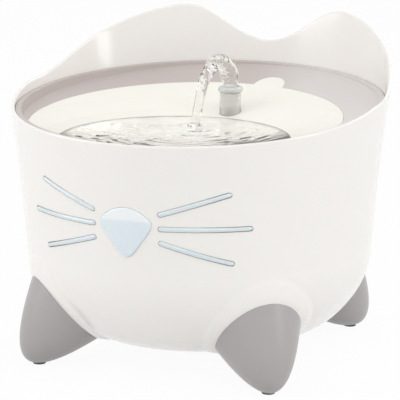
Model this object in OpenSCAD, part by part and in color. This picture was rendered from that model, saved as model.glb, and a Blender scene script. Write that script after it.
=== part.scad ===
// Pet water fountain: round reservoir on four legs, with a lift-off drinking tray, spout, filter and pump.
// Millimetres. The origin is on the floor under the middle of the housing, +Z is up and -Y is the front.

/* [Housing] */
// Radius of the reservoir wall at hip height
hip_r = 110; // [95:1:125]
// Height of the hip, where the wall meets the rounded belly
hip_z = 72; // [66:1:82]
// Radius of the rounded belly
belly_r = 59; // [50:1:62]
// How far the rim stands outside the hip
rim_flare = 8.5; // [3:0.5:14]
// Height of the rim plane on the axis
rim_z = 159.5; // [150:0.5:175]
// Slope of the rim plane, rising to the back
rim_slope = 0.067; // [0:0.001:0.1]
// How far the ear tips stand outside the rim
ear_flare = 6.3; // [2:0.1:12]
// Height of the ear tips above the rim plane
ear_h = 45.5; // [30:0.5:60]
// Height of the dip between the ears above the rim plane
ear_dip = 22; // [14:0.5:28]
// Sideways distance of each ear tip from the middle
ear_x = 58; // [45:1:70]
// Wall thickness
wall = 2.4; // [2:0.1:3.2]
// Depth of the socket that the deck ring drops into
socket_depth = 12; // [10:0.5:14]
// Width of the ledge that carries the deck ring
ledge_w = 5; // [4:0.5:8]
// Thickness of that ledge
ledge_t = 3; // [2:0.5:5]

/* [Legs] */
// How far the leg tips stand outside the hip
leg_reach = 6.5; // [-2:0.5:14]
// Height of the leg's tip point
leg_tip_z = 3; // [2.8:0.1:6]
// Angle of the leg from upright
leg_lean = 41; // [30:1:50]
// Roundness of the leg's tip: half the width of its parabola at the focus
leg_blunt = 9; // [7:0.1:10.4]
// How fast the leg widens beyond the parabola
leg_cone = 0.037; // [0:0.001:0.08]
// Angle between each leg and the front or back
leg_angle = 45; // [38:1:52]
// Wall thickness of a leg
leg_wall = 2.4; // [1.8:0.1:3.2]
// How far the hip collar stands out from the belly
collar_rise = 2; // [0.8:0.1:2.5]
// How far the hip collar reaches past the leg
collar_w = 5.5; // [2:0.5:7]
// Radius of the rubber foot pads
pad_r = 4; // [3:0.5:5]
// Radius of a leg screw's shank
screw_r = 1.5; // [1.2:0.1:2]

/* [Face] */
// Height of the middle of the whiskers
face_z = 103; // [98:1:108]
// Width of the nose lens
nose_w = 32.5; // [26:0.5:38]
// Height of the nose lens
nose_h = 31; // [24:1:34]
// Drop of the lens's middle below the whiskers' middle
nose_drop = 3; // [0:0.5:5]
// Width of a whisker strip
whisker_w = 3; // [2.4:0.1:4]
// How far the lens and strips stand out from the wall
face_rise = 0.8; // [0.4:0.1:1.2]
// Thickness of the window plates behind the wall
plate_t = 1.8; // [1.4:0.1:2.4]
// Thickness of the gaskets between plate and wall
gasket_t = 0.8; // [0.6:0.1:1.2]

/* [Tray] */
// Gap between the deck ring and its socket
tray_gap = 0.4; // [0.35:0.05:0.8]
// Mean width of the deck ring around the dish
deck_w = 14.5; // [12:0.5:24]
// How far the dish sits in front of the axis
dish_shift = 11.6; // [6:0.1:14]
// How far the dish sits to the left of the middle of the deck
dish_side = 5; // [0:0.5:6]
// Turn of the finger tab from the back of the dish, in degrees
tab_turn = 11; // [0:1:20]
// Drop from the rim plane to the dish's edge
dish_drop = 9; // [6:0.1:10]
// Depth of the dish below its edge
dish_depth = 18; // [12:0.5:24]
// Sheet thickness of the tray pieces
sheet = 2.4; // [1.8:0.1:3]
// Distance of the spout behind the axis
spout_y = 52.5; // [45:0.5:58]
// Outside radius of the spout post
spout_r = 7.2; // [6:0.1:8]
// Radius of the waterway
water_r = 4.2; // [3:0.1:4.6]
// How far the spout collar's underside lies below the rim plane at the axis
collar_drop = 3.3; // [-3:0.1:8]
// Radius of the spout collar
collar_r = 8.3; // [7.8:0.1:10]

/* [Filter] */
// Half the width of the filter basket
basket_x = 46; // [35:1:52]
// Gap between the basket and the lamp pod
basket_gap = 3.3; // [2:0.1:8]
// Distance of the basket's back wall in front of the axis
basket_back = 50; // [45:1:60]
// Depth of the basket's floor below the rim plane
basket_drop = 55.5; // [48:0.5:60]
// Thickness of the filter cartridge
cartridge_t = 14; // [8:1:16]

/* [Pump] */
// Size of the square motor block
motor_w = 36; // [32:1:38]
// Length of the motor block
motor_l = 34; // [30:1:38]
// Outside radius of the volute
volute_r = 15.5; // [14:0.5:17]
// Radius of the rotor magnet
rotor_r = 7.2; // [6:0.1:8]
// Radius of the shaft
shaft_r = 1.5; // [1:0.1:2]
// Radius of the impeller's blade tips
blade_r = 11.5; // [9:0.5:12]
// Number of impeller blades
blades = 6; // [4:1:8]

/* [Hidden] */
$fn = 96;

// Fits
loose = 0.4;      // between pieces on different bodies
seat = 0.15;      // between pieces of one body
running = 0.06;   // shaft in its bore
over = 1;         // how far a cut runs past the face it opens
far = 300;        // larger than the object

// Housing curve: through the hip, the rim and the ear tips
rim_r = hip_r + rim_flare;
ear_r = rim_r + ear_flare;
ear_z = rim_z + ear_h;
ear_dip_z = rim_z + ear_dip;
rim_tilt = atan(rim_slope);
belly_c = hip_r - belly_r;
base_z = hip_z - belly_r;
floor_z = base_z + wall;

function wall_r(z) =
    hip_r * (z - rim_z) * (z - ear_z) / ((hip_z - rim_z) * (hip_z - ear_z))
  + rim_r * (z - hip_z) * (z - ear_z) / ((rim_z - hip_z) * (rim_z - ear_z))
  + ear_r * (z - hip_z) * (z - rim_z) / ((ear_z - hip_z) * (ear_z - rim_z));

// The deck ring fits the wall's narrowest place in the socket
tray_r = wall_r(rim_z - rim_slope * rim_r - socket_depth) - wall - 0.25;
seat_r = tray_r + tray_gap;
ledge_r = seat_r - ledge_w;
dish_r = tray_r - deck_w;

// Half outline of the housing, moved in by inset
function wall_outline(inset, top) = concat(
  [[0, base_z + inset]],
  [for (a = [-90 : 7.5 : 0]) [belly_c + (belly_r - inset) * cos(a), hip_z + (belly_r - inset) * sin(a)]],
  [for (z = [hip_z + 20 : 20 : top - 4]) [wall_r(z) - inset, z]],
  [[wall_r(top) - inset, top], [0, top]]
);

// Cubic curve through a list of knots, each [point, handle]
function curve(a, b, t) =
  a[0] * pow(1 - t, 3) + (a[0] + a[1]) * 3 * t * pow(1 - t, 2)
  + (b[0] - b[1]) * 3 * t * t * (1 - t) + b[0] * pow(t, 3);
function smooth(knots, steps = 8) = concat(
  [knots[0][0]],
  [for (i = [0 : len(knots) - 2], j = [1 : steps]) curve(knots[i], knots[i + 1], j / steps)]
);

// Rim and ear outlines
front_lip_z = rim_z - rim_slope * rim_r + 1.4;
side_knots = [
  [[-rim_r - 8, front_lip_z - 0.4], [26, 1]],
  [[-44, rim_z - 0.2], [16, 2]],
  [[0, rim_z + 7.5], [10, 3]],
  [[28, rim_z + 24], [8, 8]],
  [[60, ear_z + 6], [8, 8]]
];
ear_knots = [
  [[0, ear_dip_z], [13, 0]],
  [[ear_x - 21, ear_z - 7], [8, 5]],
  [[ear_x, ear_z], [7, 0]],
  [[ear_x + 26, ear_z - 6.5], [7, -3]],
  [[rim_r - 12, ear_z - 20.5], [4.5, -5.5]],
  [[rim_r + 0.5, rim_z + 6.5], [4, -6]],
  [[ear_r + 6, rim_z - 10], [2, -6]]
];

// Legs
leg_tip_r = hip_r + leg_reach;
leg_len = 88;
screw_x = belly_c + 0.62 * belly_r;
screw_seat_z = base_z + 2;
screw_len = 21;
head_r = 2.9;
head_t = 2.2;
screw_boss_r = 4.4;
pad_x = leg_tip_r - 0.9 * leg_blunt;
pad_t = 2.4;

// Face
whisker_ends = [
  [[21.5, 8.7], [59.5, 21]],
  [[21.5, 0], [69, 0]],
  [[21.5, -8.7], [59.5, -21]]
];
plate_margin = 1.4;
plate_in = wall + gasket_t + plate_t;
pod_x = 14;
pod_h = 22;
pod_t = 6.2;
pod_wall = 1.4;
pod_y = wall_r(face_z) - plate_in - pod_t;

// Cable outlet in the rear wall: a wide throat, and a lip outside that holds the cord
outlet_z = rim_z - 23.5;
cable_r = 2.2;
hole_r = 4.4;
grommet_r = 6.6;
cable_boss_r = 8.4;
cable_boss_y = [wall_r(outlet_z) - wall - 1.6, wall_r(outlet_z) + 1.2];
grommet_t = 1.6;
throat_r = 3.2;
lip_x = 3.6;

// Tray
dish_edge_z = rim_z - dish_drop;
dish_sphere = (dish_r * dish_r + dish_depth * dish_depth) / (2 * dish_depth);
dish_lift = dish_sphere - dish_depth;
dish_c = [
  -dish_side,
  -dish_shift - dish_lift * sin(rim_tilt),
  dish_edge_z - rim_slope * dish_shift + dish_lift * cos(rim_tilt)
];
function dish_z(x, y, gap = 0) =
  dish_c[2] - sqrt(pow(dish_sphere + gap, 2) - pow(x - dish_c[0], 2) - pow(y - dish_c[1], 2));
shelf_slope = (tray_r + norm([dish_side, dish_shift]) - dish_r) / (dish_drop - 0.6);
tab_r = 11;
skirt_in = tray_r - sheet;
upstand = 1.4;
lip_t = 1.4;
seal_t = 1.2;
flange_w = 5;
drain_r = 55;
drain_l = 8;
drain_w = 2.2;
rib_t = 1.8;

// Spout
boss_r = spout_r + 3.8;
boss_z = dish_z(0, spout_y) - 8.5;
flange_t = 2.4;
spigot_r = water_r + 1.8;
spigot_z = boss_z - 16;
neck_r = water_r + 1.4;
collar_z = rim_z - collar_drop;
collar_h = 4;
spout_top = collar_z + collar_h + 0.6;
seal_c = spout_r + 1.7;
seal_r = 1.1;

// Filter
basket_r = pod_y - basket_gap;
basket_z = rim_z - basket_drop;
basket_t = 2;
grid_t = 2;
cartridge_z = basket_z + basket_t + seat;

// Pump, along X
pad_seat_z = floor_z + 3.2;
pump_y = spout_y - 9;
pump_z = pad_seat_z + 5.4 + motor_w / 2;
volute_x = [-8, 7];
cover_t = 4.5;
motor_x0 = volute_x[0] - motor_l;
well_r = rotor_r + 0.8;
well_x = motor_x0 + 5;
dial_x = volute_x[1] + cover_t + loose;
dial_r = volute_r - 4;
dial_t = 2.4;
dial_pin_r = 3;
outlet_r = 5.6;
sleeve_l = 9;
sleeve_gap = 2.5;
outlet_top = pump_z + max(volute_r, motor_w / 2) + sleeve_gap + sleeve_l;
foam_x = volute_x[1] + 1;
foam_l = 20;
foam_t = 1.4;
bush_r = 4;
bush_t = 3;
cup_r = 5;
pad_seat_c = [motor_x0 / 2 - 2, pump_y - 2];
pad_seat_r = 34;
foot_xy = [for (x = [motor_x0 + 6, volute_x[0] - 5], y = [pump_y - 12, pump_y + 9]) [x, y]];

// ---------- helpers ----------

// Everything under the rim plane moved up by z
module below_rim(z) {
  translate([0, 0, rim_z + z]) rotate([rim_tilt, 0, 0]) translate([-far, -far, -far]) cube([2 * far, 2 * far, far]);
}

// Children between two planes parallel to the rim plane
module rim_slab(z0, z1) {
  difference() {
    intersection() {
      children();
      below_rim(z1);
    }
    below_rim(z0);
  }
}

// Children in the frame of the dish's edge, which is tilted with the rim
module dish_frame() {
  translate([-dish_side, -dish_shift, dish_edge_z - rim_slope * dish_shift]) rotate([rim_tilt, 0, 0])
    children();
}

module dish_ball(gap = 0) {
  translate(dish_c) sphere(r = dish_sphere + gap);
}

module wall_solid(inset, top = ear_z + 6) {
  rotate_extrude() polygon(wall_outline(inset, top));
}

module ring(r0, r1, z0, z1) {
  translate([0, 0, z0]) difference() {
    cylinder(r = r1, h = z1 - z0);
    translate([0, 0, -over]) cylinder(r = r0, h = z1 - z0 + 2 * over);
  }
}

// Points on an arc about c, from angle a0 to a1
function arc(c, r, a0, a1, steps = 6) =
  [for (i = [0 : steps]) let (a = a0 + (a1 - a0) * i / steps) [c[0] + r * cos(a), c[1] + r * sin(a)]];

// A straight strip with round ends
module strip(a, b, w) {
  turn = atan2(b[1] - a[1], b[0] - a[0]);
  polygon(concat(arc(b, w / 2, turn - 90, turn + 90), arc(a, w / 2, turn + 90, turn + 270)));
}

// A rectangle with round corners, from its low corner to its high one
module rounded(a, b, r) {
  polygon(concat(
    arc([b[0] - r, b[1] - r], r, 0, 90), arc([a[0] + r, b[1] - r], r, 90, 180),
    arc([a[0] + r, a[1] + r], r, 180, 270), arc([b[0] - r, a[1] + r], r, 270, 360)
  ));
}

// A 2D shape in the front view, extruded through the front wall
module through_front() {
  translate([0, -60, face_z]) rotate([90, 0, 0]) linear_extrude(height = 80) children();
}

// Children turned to lie along the pump's shaft, which points to +X
module pump_frame(x = 0) {
  translate([x, pump_y, pump_z]) rotate([0, 90, 0]) children();
}

module at_legs() {
  for (a = [leg_angle, -leg_angle, 180 - leg_angle, leg_angle - 180]) rotate(a) children();
}

// ---------- housing ----------

module ear_outline() {
  polygon(concat([[0, 0]], smooth(ear_knots), [[far, rim_z - 10], [far, 0]]));
}

// Everything under the rim line: a side view and a front view, each extruded
module rim_cut() {
  intersection() {
    rotate([90, 0, 90]) translate([0, 0, -far / 2]) linear_extrude(height = far)
      polygon(concat([[-far, 0], [-far, front_lip_z - 0.4]], smooth(side_knots), [[far, ear_z + 6], [far, 0]]));
    translate([0, far / 2, 0]) rotate([90, 0, 0]) linear_extrude(height = far) {
      ear_outline();
      mirror([1, 0]) ear_outline();
    }
  }
}

function leg_profile(s) = sqrt(2 * leg_blunt * s + leg_cone * s * s);

// Rotationally symmetric leg shape, grown outwards by g
module leg_form(g = 0) {
  steps = 14;
  translate([0, -leg_tip_r, leg_tip_z]) rotate([-leg_lean, 0, 0]) translate([0, 0, -g]) rotate_extrude()
    polygon(concat(
      [for (i = [0 : steps]) let (s = leg_len * pow(i / steps, 2)) [leg_profile(s) + g * min(1, 3 * i / steps), s]],
      [[0, leg_len]]
    ));
}

module nose_outline(g = 0) {
  w = nose_w + 2 * g;
  h = nose_h + 2 * g;
  half = smooth([
    [[0, 0.48 * h], [0.22 * w, 0]],
    [[0.5 * w, 0.17 * h], [0, -0.12 * h]],
    [[0.27 * w, -0.24 * h], [-0.08 * w, -0.12 * h]],
    [[0, -0.5 * h], [-0.10 * w, 0]]
  ]);
  translate([0, -nose_drop]) {
    polygon(half);
    mirror([1, 0]) polygon(half);
  }
}

module whisker_outline(g = 0) {
  for (w = whisker_ends) strip(w[0], w[1], whisker_w + 2 * g);
}

module whisker_plate_outline() {
  low = whisker_ends[2];
  rounded(
    [low[0][0] - whisker_w / 2 - plate_margin, low[1][1] - whisker_w / 2 - plate_margin],
    [whisker_ends[1][1][0] + whisker_w / 2 + plate_margin, whisker_ends[0][1][1] + whisker_w / 2 + plate_margin],
    5
  );
}

module screw_hole() {
  translate([0, -screw_x, screw_seat_z - over]) cylinder(r = screw_r, h = screw_len + over);
}

module reservoir_shell() {
  color([0.95, 0.94, 0.93]) difference() {
    union() {
      difference() {
        union() {
          intersection() {
            difference() {
              wall_solid(0);
              wall_solid(wall, ear_z + 7);
            }
            rim_cut();
          }
          at_legs() intersection() {
            leg_form(collar_w);
            wall_solid(-collar_rise, hip_z + 30);
          }
        }
        wall_solid(wall, rim_z - 30);
      }
      rim_slab(-socket_depth - ledge_t, -lip_t - loose) difference() {
        wall_solid(wall / 2, ear_z);
        cylinder(r = seat_r, h = far);
      }
      rim_slab(-socket_depth - ledge_t, -socket_depth) difference() {
        wall_solid(wall / 2, ear_z);
        cylinder(r = ledge_r, h = far);
      }
      at_legs() translate([0, -screw_x, screw_seat_z + 13]) cylinder(r = screw_boss_r, h = screw_len - 9);
      intersection() {
        translate([pad_seat_c[0], pad_seat_c[1], floor_z - wall / 2]) cylinder(r = pad_seat_r, h = pad_seat_z - floor_z + wall / 2);
        wall_solid(wall / 2);
      }
      translate([0, cable_boss_y[1], outlet_z]) rotate([90, 0, 0])
        cylinder(r = cable_boss_r, h = cable_boss_y[1] - cable_boss_y[0]);
    }
    at_legs() screw_hole();
    through_front() {
      nose_outline(seat);
      whisker_outline(seat);
      mirror([1, 0]) whisker_outline(seat);
    }
    translate([0, far / 2, outlet_z]) rotate([90, 0, 0]) cylinder(r = hole_r, h = far / 2 - 90);
  }
}

// ---------- legs ----------

module leg(a) {
  color([0.62, 0.61, 0.61]) rotate(a) difference() {
    leg_form();
    wall_solid(-collar_rise - seat, hip_z + 40);
    difference() {
      leg_form(-leg_wall);
      translate([0, -screw_x, 0]) cylinder(r = screw_boss_r, h = 60);
      translate([0, -pad_x, 0]) cylinder(r = pad_r + 2, h = pad_t + 2);
    }
    screw_hole();
    translate([0, -screw_x, -over]) cylinder(r = head_r + seat, h = screw_seat_z + over);
    translate([0, -pad_x, -over]) cylinder(r = pad_r, h = pad_t + over);
  }
}

module leg_front_right() {
  leg(leg_angle);
}

module leg_front_left() {
  leg(-leg_angle);
}

module leg_rear_right() {
  leg(180 - leg_angle);
}

module leg_rear_left() {
  leg(leg_angle - 180);
}

module leg_screws() {
  color([0.75, 0.75, 0.77]) at_legs() translate([0, -screw_x, screw_seat_z]) {
    cylinder(r = screw_r, h = screw_len);
    difference() {
      translate([0, 0, -head_t]) cylinder(r = head_r, h = head_t);
      translate([0, 0, -head_t - over]) cylinder(r = 1.4, h = over + 1.4, $fn = 6);
    }
  }
}

module foot_pads() {
  color([0.35, 0.35, 0.36]) at_legs() translate([0, -pad_x, 0]) cylinder(r = pad_r, h = pad_t);
}

// ---------- face ----------

module nose_lens() {
  color([0.84, 0.92, 0.96, 0.7]) {
    intersection() {
      difference() {
        wall_solid(-face_rise);
        wall_solid(plate_in);
      }
      through_front() nose_outline();
    }
    intersection() {
      difference() {
        wall_solid(wall + gasket_t);
        wall_solid(plate_in);
      }
      through_front() nose_outline(plate_margin);
    }
  }
}

module nose_gasket() {
  color([0.9, 0.9, 0.9]) intersection() {
    difference() {
      wall_solid(wall);
      wall_solid(wall + gasket_t);
    }
    through_front() difference() {
      nose_outline(plate_margin);
      nose_outline(seat);
    }
  }
}

module whisker_window() {
  color([0.84, 0.92, 0.96, 0.7]) {
    intersection() {
      difference() {
        wall_solid(-face_rise);
        wall_solid(plate_in);
      }
      through_front() whisker_outline();
    }
    intersection() {
      difference() {
        wall_solid(wall + gasket_t);
        wall_solid(plate_in);
      }
      through_front() whisker_plate_outline();
    }
  }
}

module whisker_window_right() {
  whisker_window();
}

module whisker_window_left() {
  mirror([1, 0, 0]) whisker_window();
}

module whisker_gaskets() {
  color([0.9, 0.9, 0.9]) for (side = [0, 1]) mirror([side, 0, 0]) intersection() {
    difference() {
      wall_solid(wall);
      wall_solid(wall + gasket_t);
    }
    through_front() difference() {
      whisker_plate_outline();
      whisker_outline(seat);
    }
  }
}

module led_pod() {
  color([0.92, 0.92, 0.9]) difference() {
    intersection() {
      translate([-pod_x, -far, face_z - pod_h / 2]) cube([2 * pod_x, far - pod_y, pod_h]);
      wall_solid(plate_in);
    }
    translate([-pod_x + pod_wall, -far, face_z - pod_h / 2 + pod_wall])
      cube([2 * (pod_x - pod_wall), far - pod_y - pod_wall, pod_h - 2 * pod_wall]);
  }
}

module led_board() {
  color([0.15, 0.45, 0.25]) translate([-pod_x + pod_wall + seat, -pod_y - pod_wall - 1.6, face_z - pod_h / 2 + pod_wall + seat])
    cube([2 * (pod_x - pod_wall - seat), 1.6 - seat, pod_h - 2 * (pod_wall + seat)]);
}

module led_lamps() {
  color([0.95, 0.95, 0.6]) for (x = [-6, 6]) translate([x, -pod_y - pod_wall - 1.6, face_z]) rotate([90, 0, 0]) {
    cylinder(r = 1.5, h = 1.3);
    translate([0, 0, 1.3]) sphere(r = 1.2);
  }
}

module cable_grommet() {
  boss_l = cable_boss_y[1] - cable_boss_y[0];
  color([0.3, 0.3, 0.32]) translate([0, cable_boss_y[0], outlet_z]) rotate([-90, 0, 0]) difference() {
    union() {
      cylinder(r = hole_r, h = boss_l);
      translate([0, 0, -grommet_t]) cylinder(r = grommet_r, h = grommet_t);
      translate([0, 0, boss_l]) cylinder(r = grommet_r, h = grommet_t);
      translate([0, 0, boss_l]) cylinder(r = hole_r, h = lip_x);
    }
    translate([0, 0, -grommet_t - over]) cylinder(r = throat_r, h = boss_l + grommet_t + over + 0.4);
    translate([0, 0, -grommet_t - over]) cylinder(r = cable_r, h = far / 6);
  }
}

// ---------- pump ----------

module motor_outline(w) {
  rounded([-w / 2, -w / 2], [w / 2, w / 2], 5);
}

module pump_body() {
  color([0.25, 0.27, 0.3]) difference() {
    union() {
      pump_frame(motor_x0) linear_extrude(height = motor_l + over) motor_outline(motor_w);
      pump_frame(volute_x[0]) cylinder(r = volute_r, h = volute_x[1] - volute_x[0]);
      translate([0, spout_y, pump_z]) cylinder(r = outlet_r, h = outlet_top - pump_z);
      for (f = foot_xy) translate([f[0], f[1], pump_z - motor_w / 2 - 1.6]) cylinder(r = 3.4, h = 2.6);
    }
    pump_frame(volute_x[0] + 2) cylinder(r = volute_r - 2.2, h = far);
    pump_frame(well_x) cylinder(r = well_r, h = far);
    pump_frame(well_x - bush_t) cylinder(r = bush_r, h = far);
    translate([0, spout_y, pump_z + 4]) cylinder(r = water_r, h = far);
    for (f = foot_xy) translate([f[0], f[1], pump_z - motor_w / 2 - over - 1.6]) cylinder(r = 1.8, h = 3.2 + over);
  }
}

module intake_slots(r0, r1, h) {
  for (a = [0 : 45 : 315]) rotate(a) translate([0, 0, -over]) linear_extrude(height = h + 2 * over)
    strip([r0, 0], [r1, 0], 2.4);
}

module pump_cover() {
  color([0.35, 0.37, 0.4]) pump_frame(volute_x[1]) {
    difference() {
      union() {
        cylinder(r = volute_r, h = cover_t);
        cylinder(r = dial_pin_r, h = cover_t + dial_t + 2 * loose);
      }
      difference() {
        translate([0, 0, -over]) cylinder(r = volute_r - 2.2, h = over + cover_t - 2);
        cylinder(r = bush_r + 1.4, h = cover_t);
      }
      translate([0, 0, -over]) cylinder(r = bush_r, h = over + bush_t);
      intake_slots(6.8, 10, cover_t);
    }
  }
}

module rotor_magnet() {
  color([0.15, 0.15, 0.16]) pump_frame(well_x + 2) difference() {
    cylinder(r = rotor_r, h = volute_x[0] - well_x - 2);
    translate([0, 0, -over]) cylinder(r = shaft_r + 1.2, h = far);
  }
}

// Six backswept blades on a disc, and the sleeve that carries the magnet
module impeller() {
  tip_x = volute_x[1] - 1.6;
  disc_x = volute_x[0] + 2.8;
  color([0.93, 0.93, 0.9]) difference() {
    union() {
      pump_frame(well_x + 1) cylinder(r = shaft_r + 1.2, h = tip_x - well_x - 1);
      pump_frame(volute_x[0]) cylinder(r = rotor_r - 1, h = 2.8);
      pump_frame(disc_x) {
        cylinder(r = blade_r, h = 1.2);
        for (k = [0 : blades - 1]) rotate(k * 360 / blades) linear_extrude(height = tip_x - disc_x) blade_outline();
      }
    }
    pump_frame(well_x - over) cylinder(r = shaft_r + running, h = far);
  }
}

// One blade: the thin crescent between two circles, inside the disc's edge
module blade_outline() {
  bend = blade_r * 0.75;
  intersection() {
    circle(r = blade_r);
    difference() {
      translate([bend + 0.2, 0]) circle(r = bend);
      translate([bend + 1.6, 0.6]) circle(r = bend);
      translate([-far, -far]) square([2 * far, far]);
    }
  }
}

module impeller_shaft() {
  color([0.9, 0.9, 0.92]) pump_frame(well_x - bush_t + 0.4) cylinder(r = shaft_r, h = volute_x[1] + bush_t - 0.4 - well_x + bush_t - 0.4);
}

module shaft_bushes() {
  color([0.2, 0.2, 0.2]) for (x = [well_x - bush_t, volute_x[1]]) pump_frame(x) difference() {
    cylinder(r = bush_r, h = bush_t);
    translate([0, 0, -over]) cylinder(r = shaft_r, h = bush_t + 2 * over);
  }
}

module flow_dial() {
  color([0.55, 0.75, 0.85]) pump_frame(dial_x) difference() {
    union() {
      cylinder(r = dial_r, h = dial_t);
      linear_extrude(height = dial_t) strip([0, 0], [0, dial_r + 0.2], 4);
    }
    translate([0, 0, -over]) cylinder(r = dial_pin_r + running, h = dial_t + 2 * over);
    intake_slots(6.8, 8.6, dial_t);
  }
}

module suction_feet() {
  color([0.75, 0.77, 0.8]) for (f = foot_xy) translate([f[0], f[1], 0]) rotate_extrude() polygon([
    [0, pad_seat_z + 1.4],
    [cup_r - 1, pad_seat_z],
    [cup_r, pad_seat_z],
    [2.2, pump_z - motor_w / 2 - 2.2],
    [2.2, pump_z - motor_w / 2 - 1.6],
    [1.8, pump_z - motor_w / 2 - 1.6],
    [1.8, pump_z - motor_w / 2 + 1.2],
    [0, pump_z - motor_w / 2 + 1.2]
  ]);
}

module foam_cap() {
  color([0.2, 0.25, 0.3]) pump_frame(foam_x) difference() {
    cylinder(r = volute_r + loose + foam_t, h = foam_l);
    translate([0, 0, -over]) cylinder(r = volute_r + loose, h = over + foam_l - 9);
  }
}

module riser_tube() {
  top = spigot_z + 8;
  step = spigot_z - 3;
  color([0.8, 0.84, 0.87, 0.8]) translate([0, spout_y, 0]) rotate_extrude() polygon([
    [water_r, outlet_top],
    [outlet_r + 0.05, outlet_top],
    [outlet_r + 0.05, outlet_top - sleeve_l],
    [outlet_r + 2, outlet_top - sleeve_l],
    [outlet_r + 2, outlet_top + 2],
    [water_r + 2, outlet_top + 5],
    [water_r + 2, step - 3],
    [spigot_r + 2.2, step],
    [spigot_r + 2.2, top],
    [spigot_r + loose, top],
    [spigot_r + loose, step],
    [water_r, step - 2]
  ]);
}

// ---------- tray ----------

// Everything above the shelf's cone, in the dish frame, moved down by d
module above_shelf(d = 0) {
  h = 40;
  translate([0, 0, -d]) cylinder(r1 = dish_r, r2 = dish_r + h * shelf_slope, h = h);
}

module deck_ring() {
  color([0.78, 0.75, 0.73]) difference() {
    union() {
      rim_slab(seal_t + loose - socket_depth, 0) translate([0, 0, rim_z - 40]) cylinder(r = tray_r, h = 80);
      rim_slab(-lip_t, 0) wall_solid(wall + loose);
    }
    intersection() {
      dish_frame() above_shelf();
      translate([0, 0, rim_z - 40]) cylinder(r = tray_r - upstand, h = 80);
    }
    intersection() {
      translate([0, 0, rim_z - 40]) cylinder(r = skirt_in, h = 80);
      dish_frame() difference() {
        translate([0, 0, -40]) cylinder(r = far, h = 60);
        above_shelf(sheet);
      }
    }
    intersection() {
      dish_frame() translate([0, 0, -40]) cylinder(r = dish_r + seat, h = 80);
      translate([0, 0, rim_z - 40]) cylinder(r = skirt_in, h = 80);
    }
    dish_frame() rotate(-tab_turn) translate([0, dish_r, -20]) cylinder(r = tab_r + seat, h = 40);
  }
}

module deck_seal() {
  color([0.4, 0.4, 0.42]) rim_slab(loose - socket_depth, loose - socket_depth + seal_t)
    ring(ledge_r + 0.8, tray_r - 0.2, rim_z - 40, rim_z + 40);
}

module drinking_dish() {
  color([0.98, 0.965, 0.92]) difference() {
    union() {
      intersection() {
        union() {
          dish_frame() translate([0, 0, -60]) cylinder(r = dish_r, h = 60);
          dish_frame() translate([0, 0, -sheet - 2.2]) cylinder(r = dish_r + flange_w, h = 2.1);
        }
        union() {
          dish_ball(sheet);
          dish_frame() ring(dish_r - 6, dish_r + 10, -sheet - 2.2, 1);
        }
        union() {
          translate([0, 0, rim_z - 80]) cylinder(r = ledge_r - loose, h = 90);
          rim_slab(seal_t + loose + 0.1 - socket_depth, 0) translate([0, 0, rim_z - 40]) cylinder(r = skirt_in - seat, h = 80);
        }
      }
      dish_frame() rotate(-tab_turn) translate([0, dish_r, -sheet - 1]) difference() {
        cylinder(r = tab_r, h = 8);
        translate([0, -dish_r, sheet + 1]) above_shelf();
      }
      translate([0, spout_y, boss_z]) cylinder(r = boss_r, h = 16);
      for (x = [basket_x + loose, -basket_x - loose - rib_t])
        translate([x, -84, basket_z + 14]) cube([rib_t, 30, 30]);
    }
    dish_ball();
    for (a = [-36 : 12 : 36]) translate([0, dish_c[1], 0]) rotate(a) linear_extrude(height = far)
      strip([0, -drain_r], [0, -drain_r - drain_l + drain_w], drain_w);
    translate([0, spout_y, 0]) cylinder(r = spout_r + seat, h = far);
    translate([0, spout_y, boss_z - over]) cylinder(r = seal_c + seal_r, h = 2 * seal_r + over);
  }
}

module spout_post() {
  color([0.85, 0.9, 0.93, 0.6]) translate([0, spout_y, 0]) rotate_extrude() polygon([
    [water_r, spigot_z],
    [spigot_r - 0.6, spigot_z],
    [spigot_r, spigot_z + 1],
    [spigot_r, boss_z - flange_t],
    [boss_r - 0.6, boss_z - flange_t],
    [boss_r - 0.6, boss_z],
    [spout_r, boss_z],
    [spout_r, boss_z + 10],
    [spout_r - 0.5, collar_z],
    [neck_r, collar_z],
    [neck_r, spout_top],
    [water_r - 0.6, spout_top],
    [water_r - 0.6, spout_top - 2],
    [water_r, spout_top - 4]
  ]);
}

module spout_collar() {
  edge = collar_h / 2;
  color([0.78, 0.83, 0.87]) translate([0, spout_y, collar_z]) rotate_extrude() difference() {
    union() {
      square([collar_r - edge, collar_h]);
      translate([collar_r - edge, edge]) circle(r = edge);
    }
    translate([-over, -over]) square([neck_r + over, collar_h + 2 * over]);
  }
}

module spout_seal() {
  color([0.2, 0.2, 0.2]) translate([0, spout_y, boss_z + seal_r]) rotate_extrude()
    translate([seal_c, 0]) circle(r = seal_r - 0.05);
}

// ---------- filter ----------

module basket_outline(inset) {
  intersection() {
    circle(r = basket_r - inset);
    rounded([-basket_x + inset, -far], [basket_x - inset, -basket_back - inset], 6);
  }
}

module filter_basket() {
  color([0.9, 0.92, 0.93]) difference() {
    translate([0, 0, basket_z]) linear_extrude(height = 60) basket_outline(0);
    translate([0, 0, basket_z + basket_t]) linear_extrude(height = 60) basket_outline(basket_t);
    dish_under();
    translate([0, 0, basket_z - over]) linear_extrude(height = basket_t + 2 * over) drain_slots(basket_t + 4);
  }
}

// The dish's underside and all above it, with a gap for the basket to move in
module dish_under() {
  translate(dish_c) cylinder(r = far / 2, h = 10);
  dish_ball(sheet + loose);
}

module drain_slots(inset) {
  intersection() {
    basket_outline(inset);
    for (x = [-basket_x + 8 : 6 : basket_x - 8]) translate([x - 1.5, -basket_r]) square([3, basket_r]);
  }
}

module filter_cartridge() {
  color([0.86, 0.88, 0.86]) translate([0, 0, cartridge_z]) linear_extrude(height = cartridge_t)
    basket_outline(basket_t + seat);
}

module filter_grid() {
  color([0.8, 0.86, 0.9]) translate([0, 0, cartridge_z + cartridge_t + seat]) linear_extrude(height = grid_t) difference() {
    basket_outline(basket_t + seat);
    drain_slots(basket_t + 4);
  }
}

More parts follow.
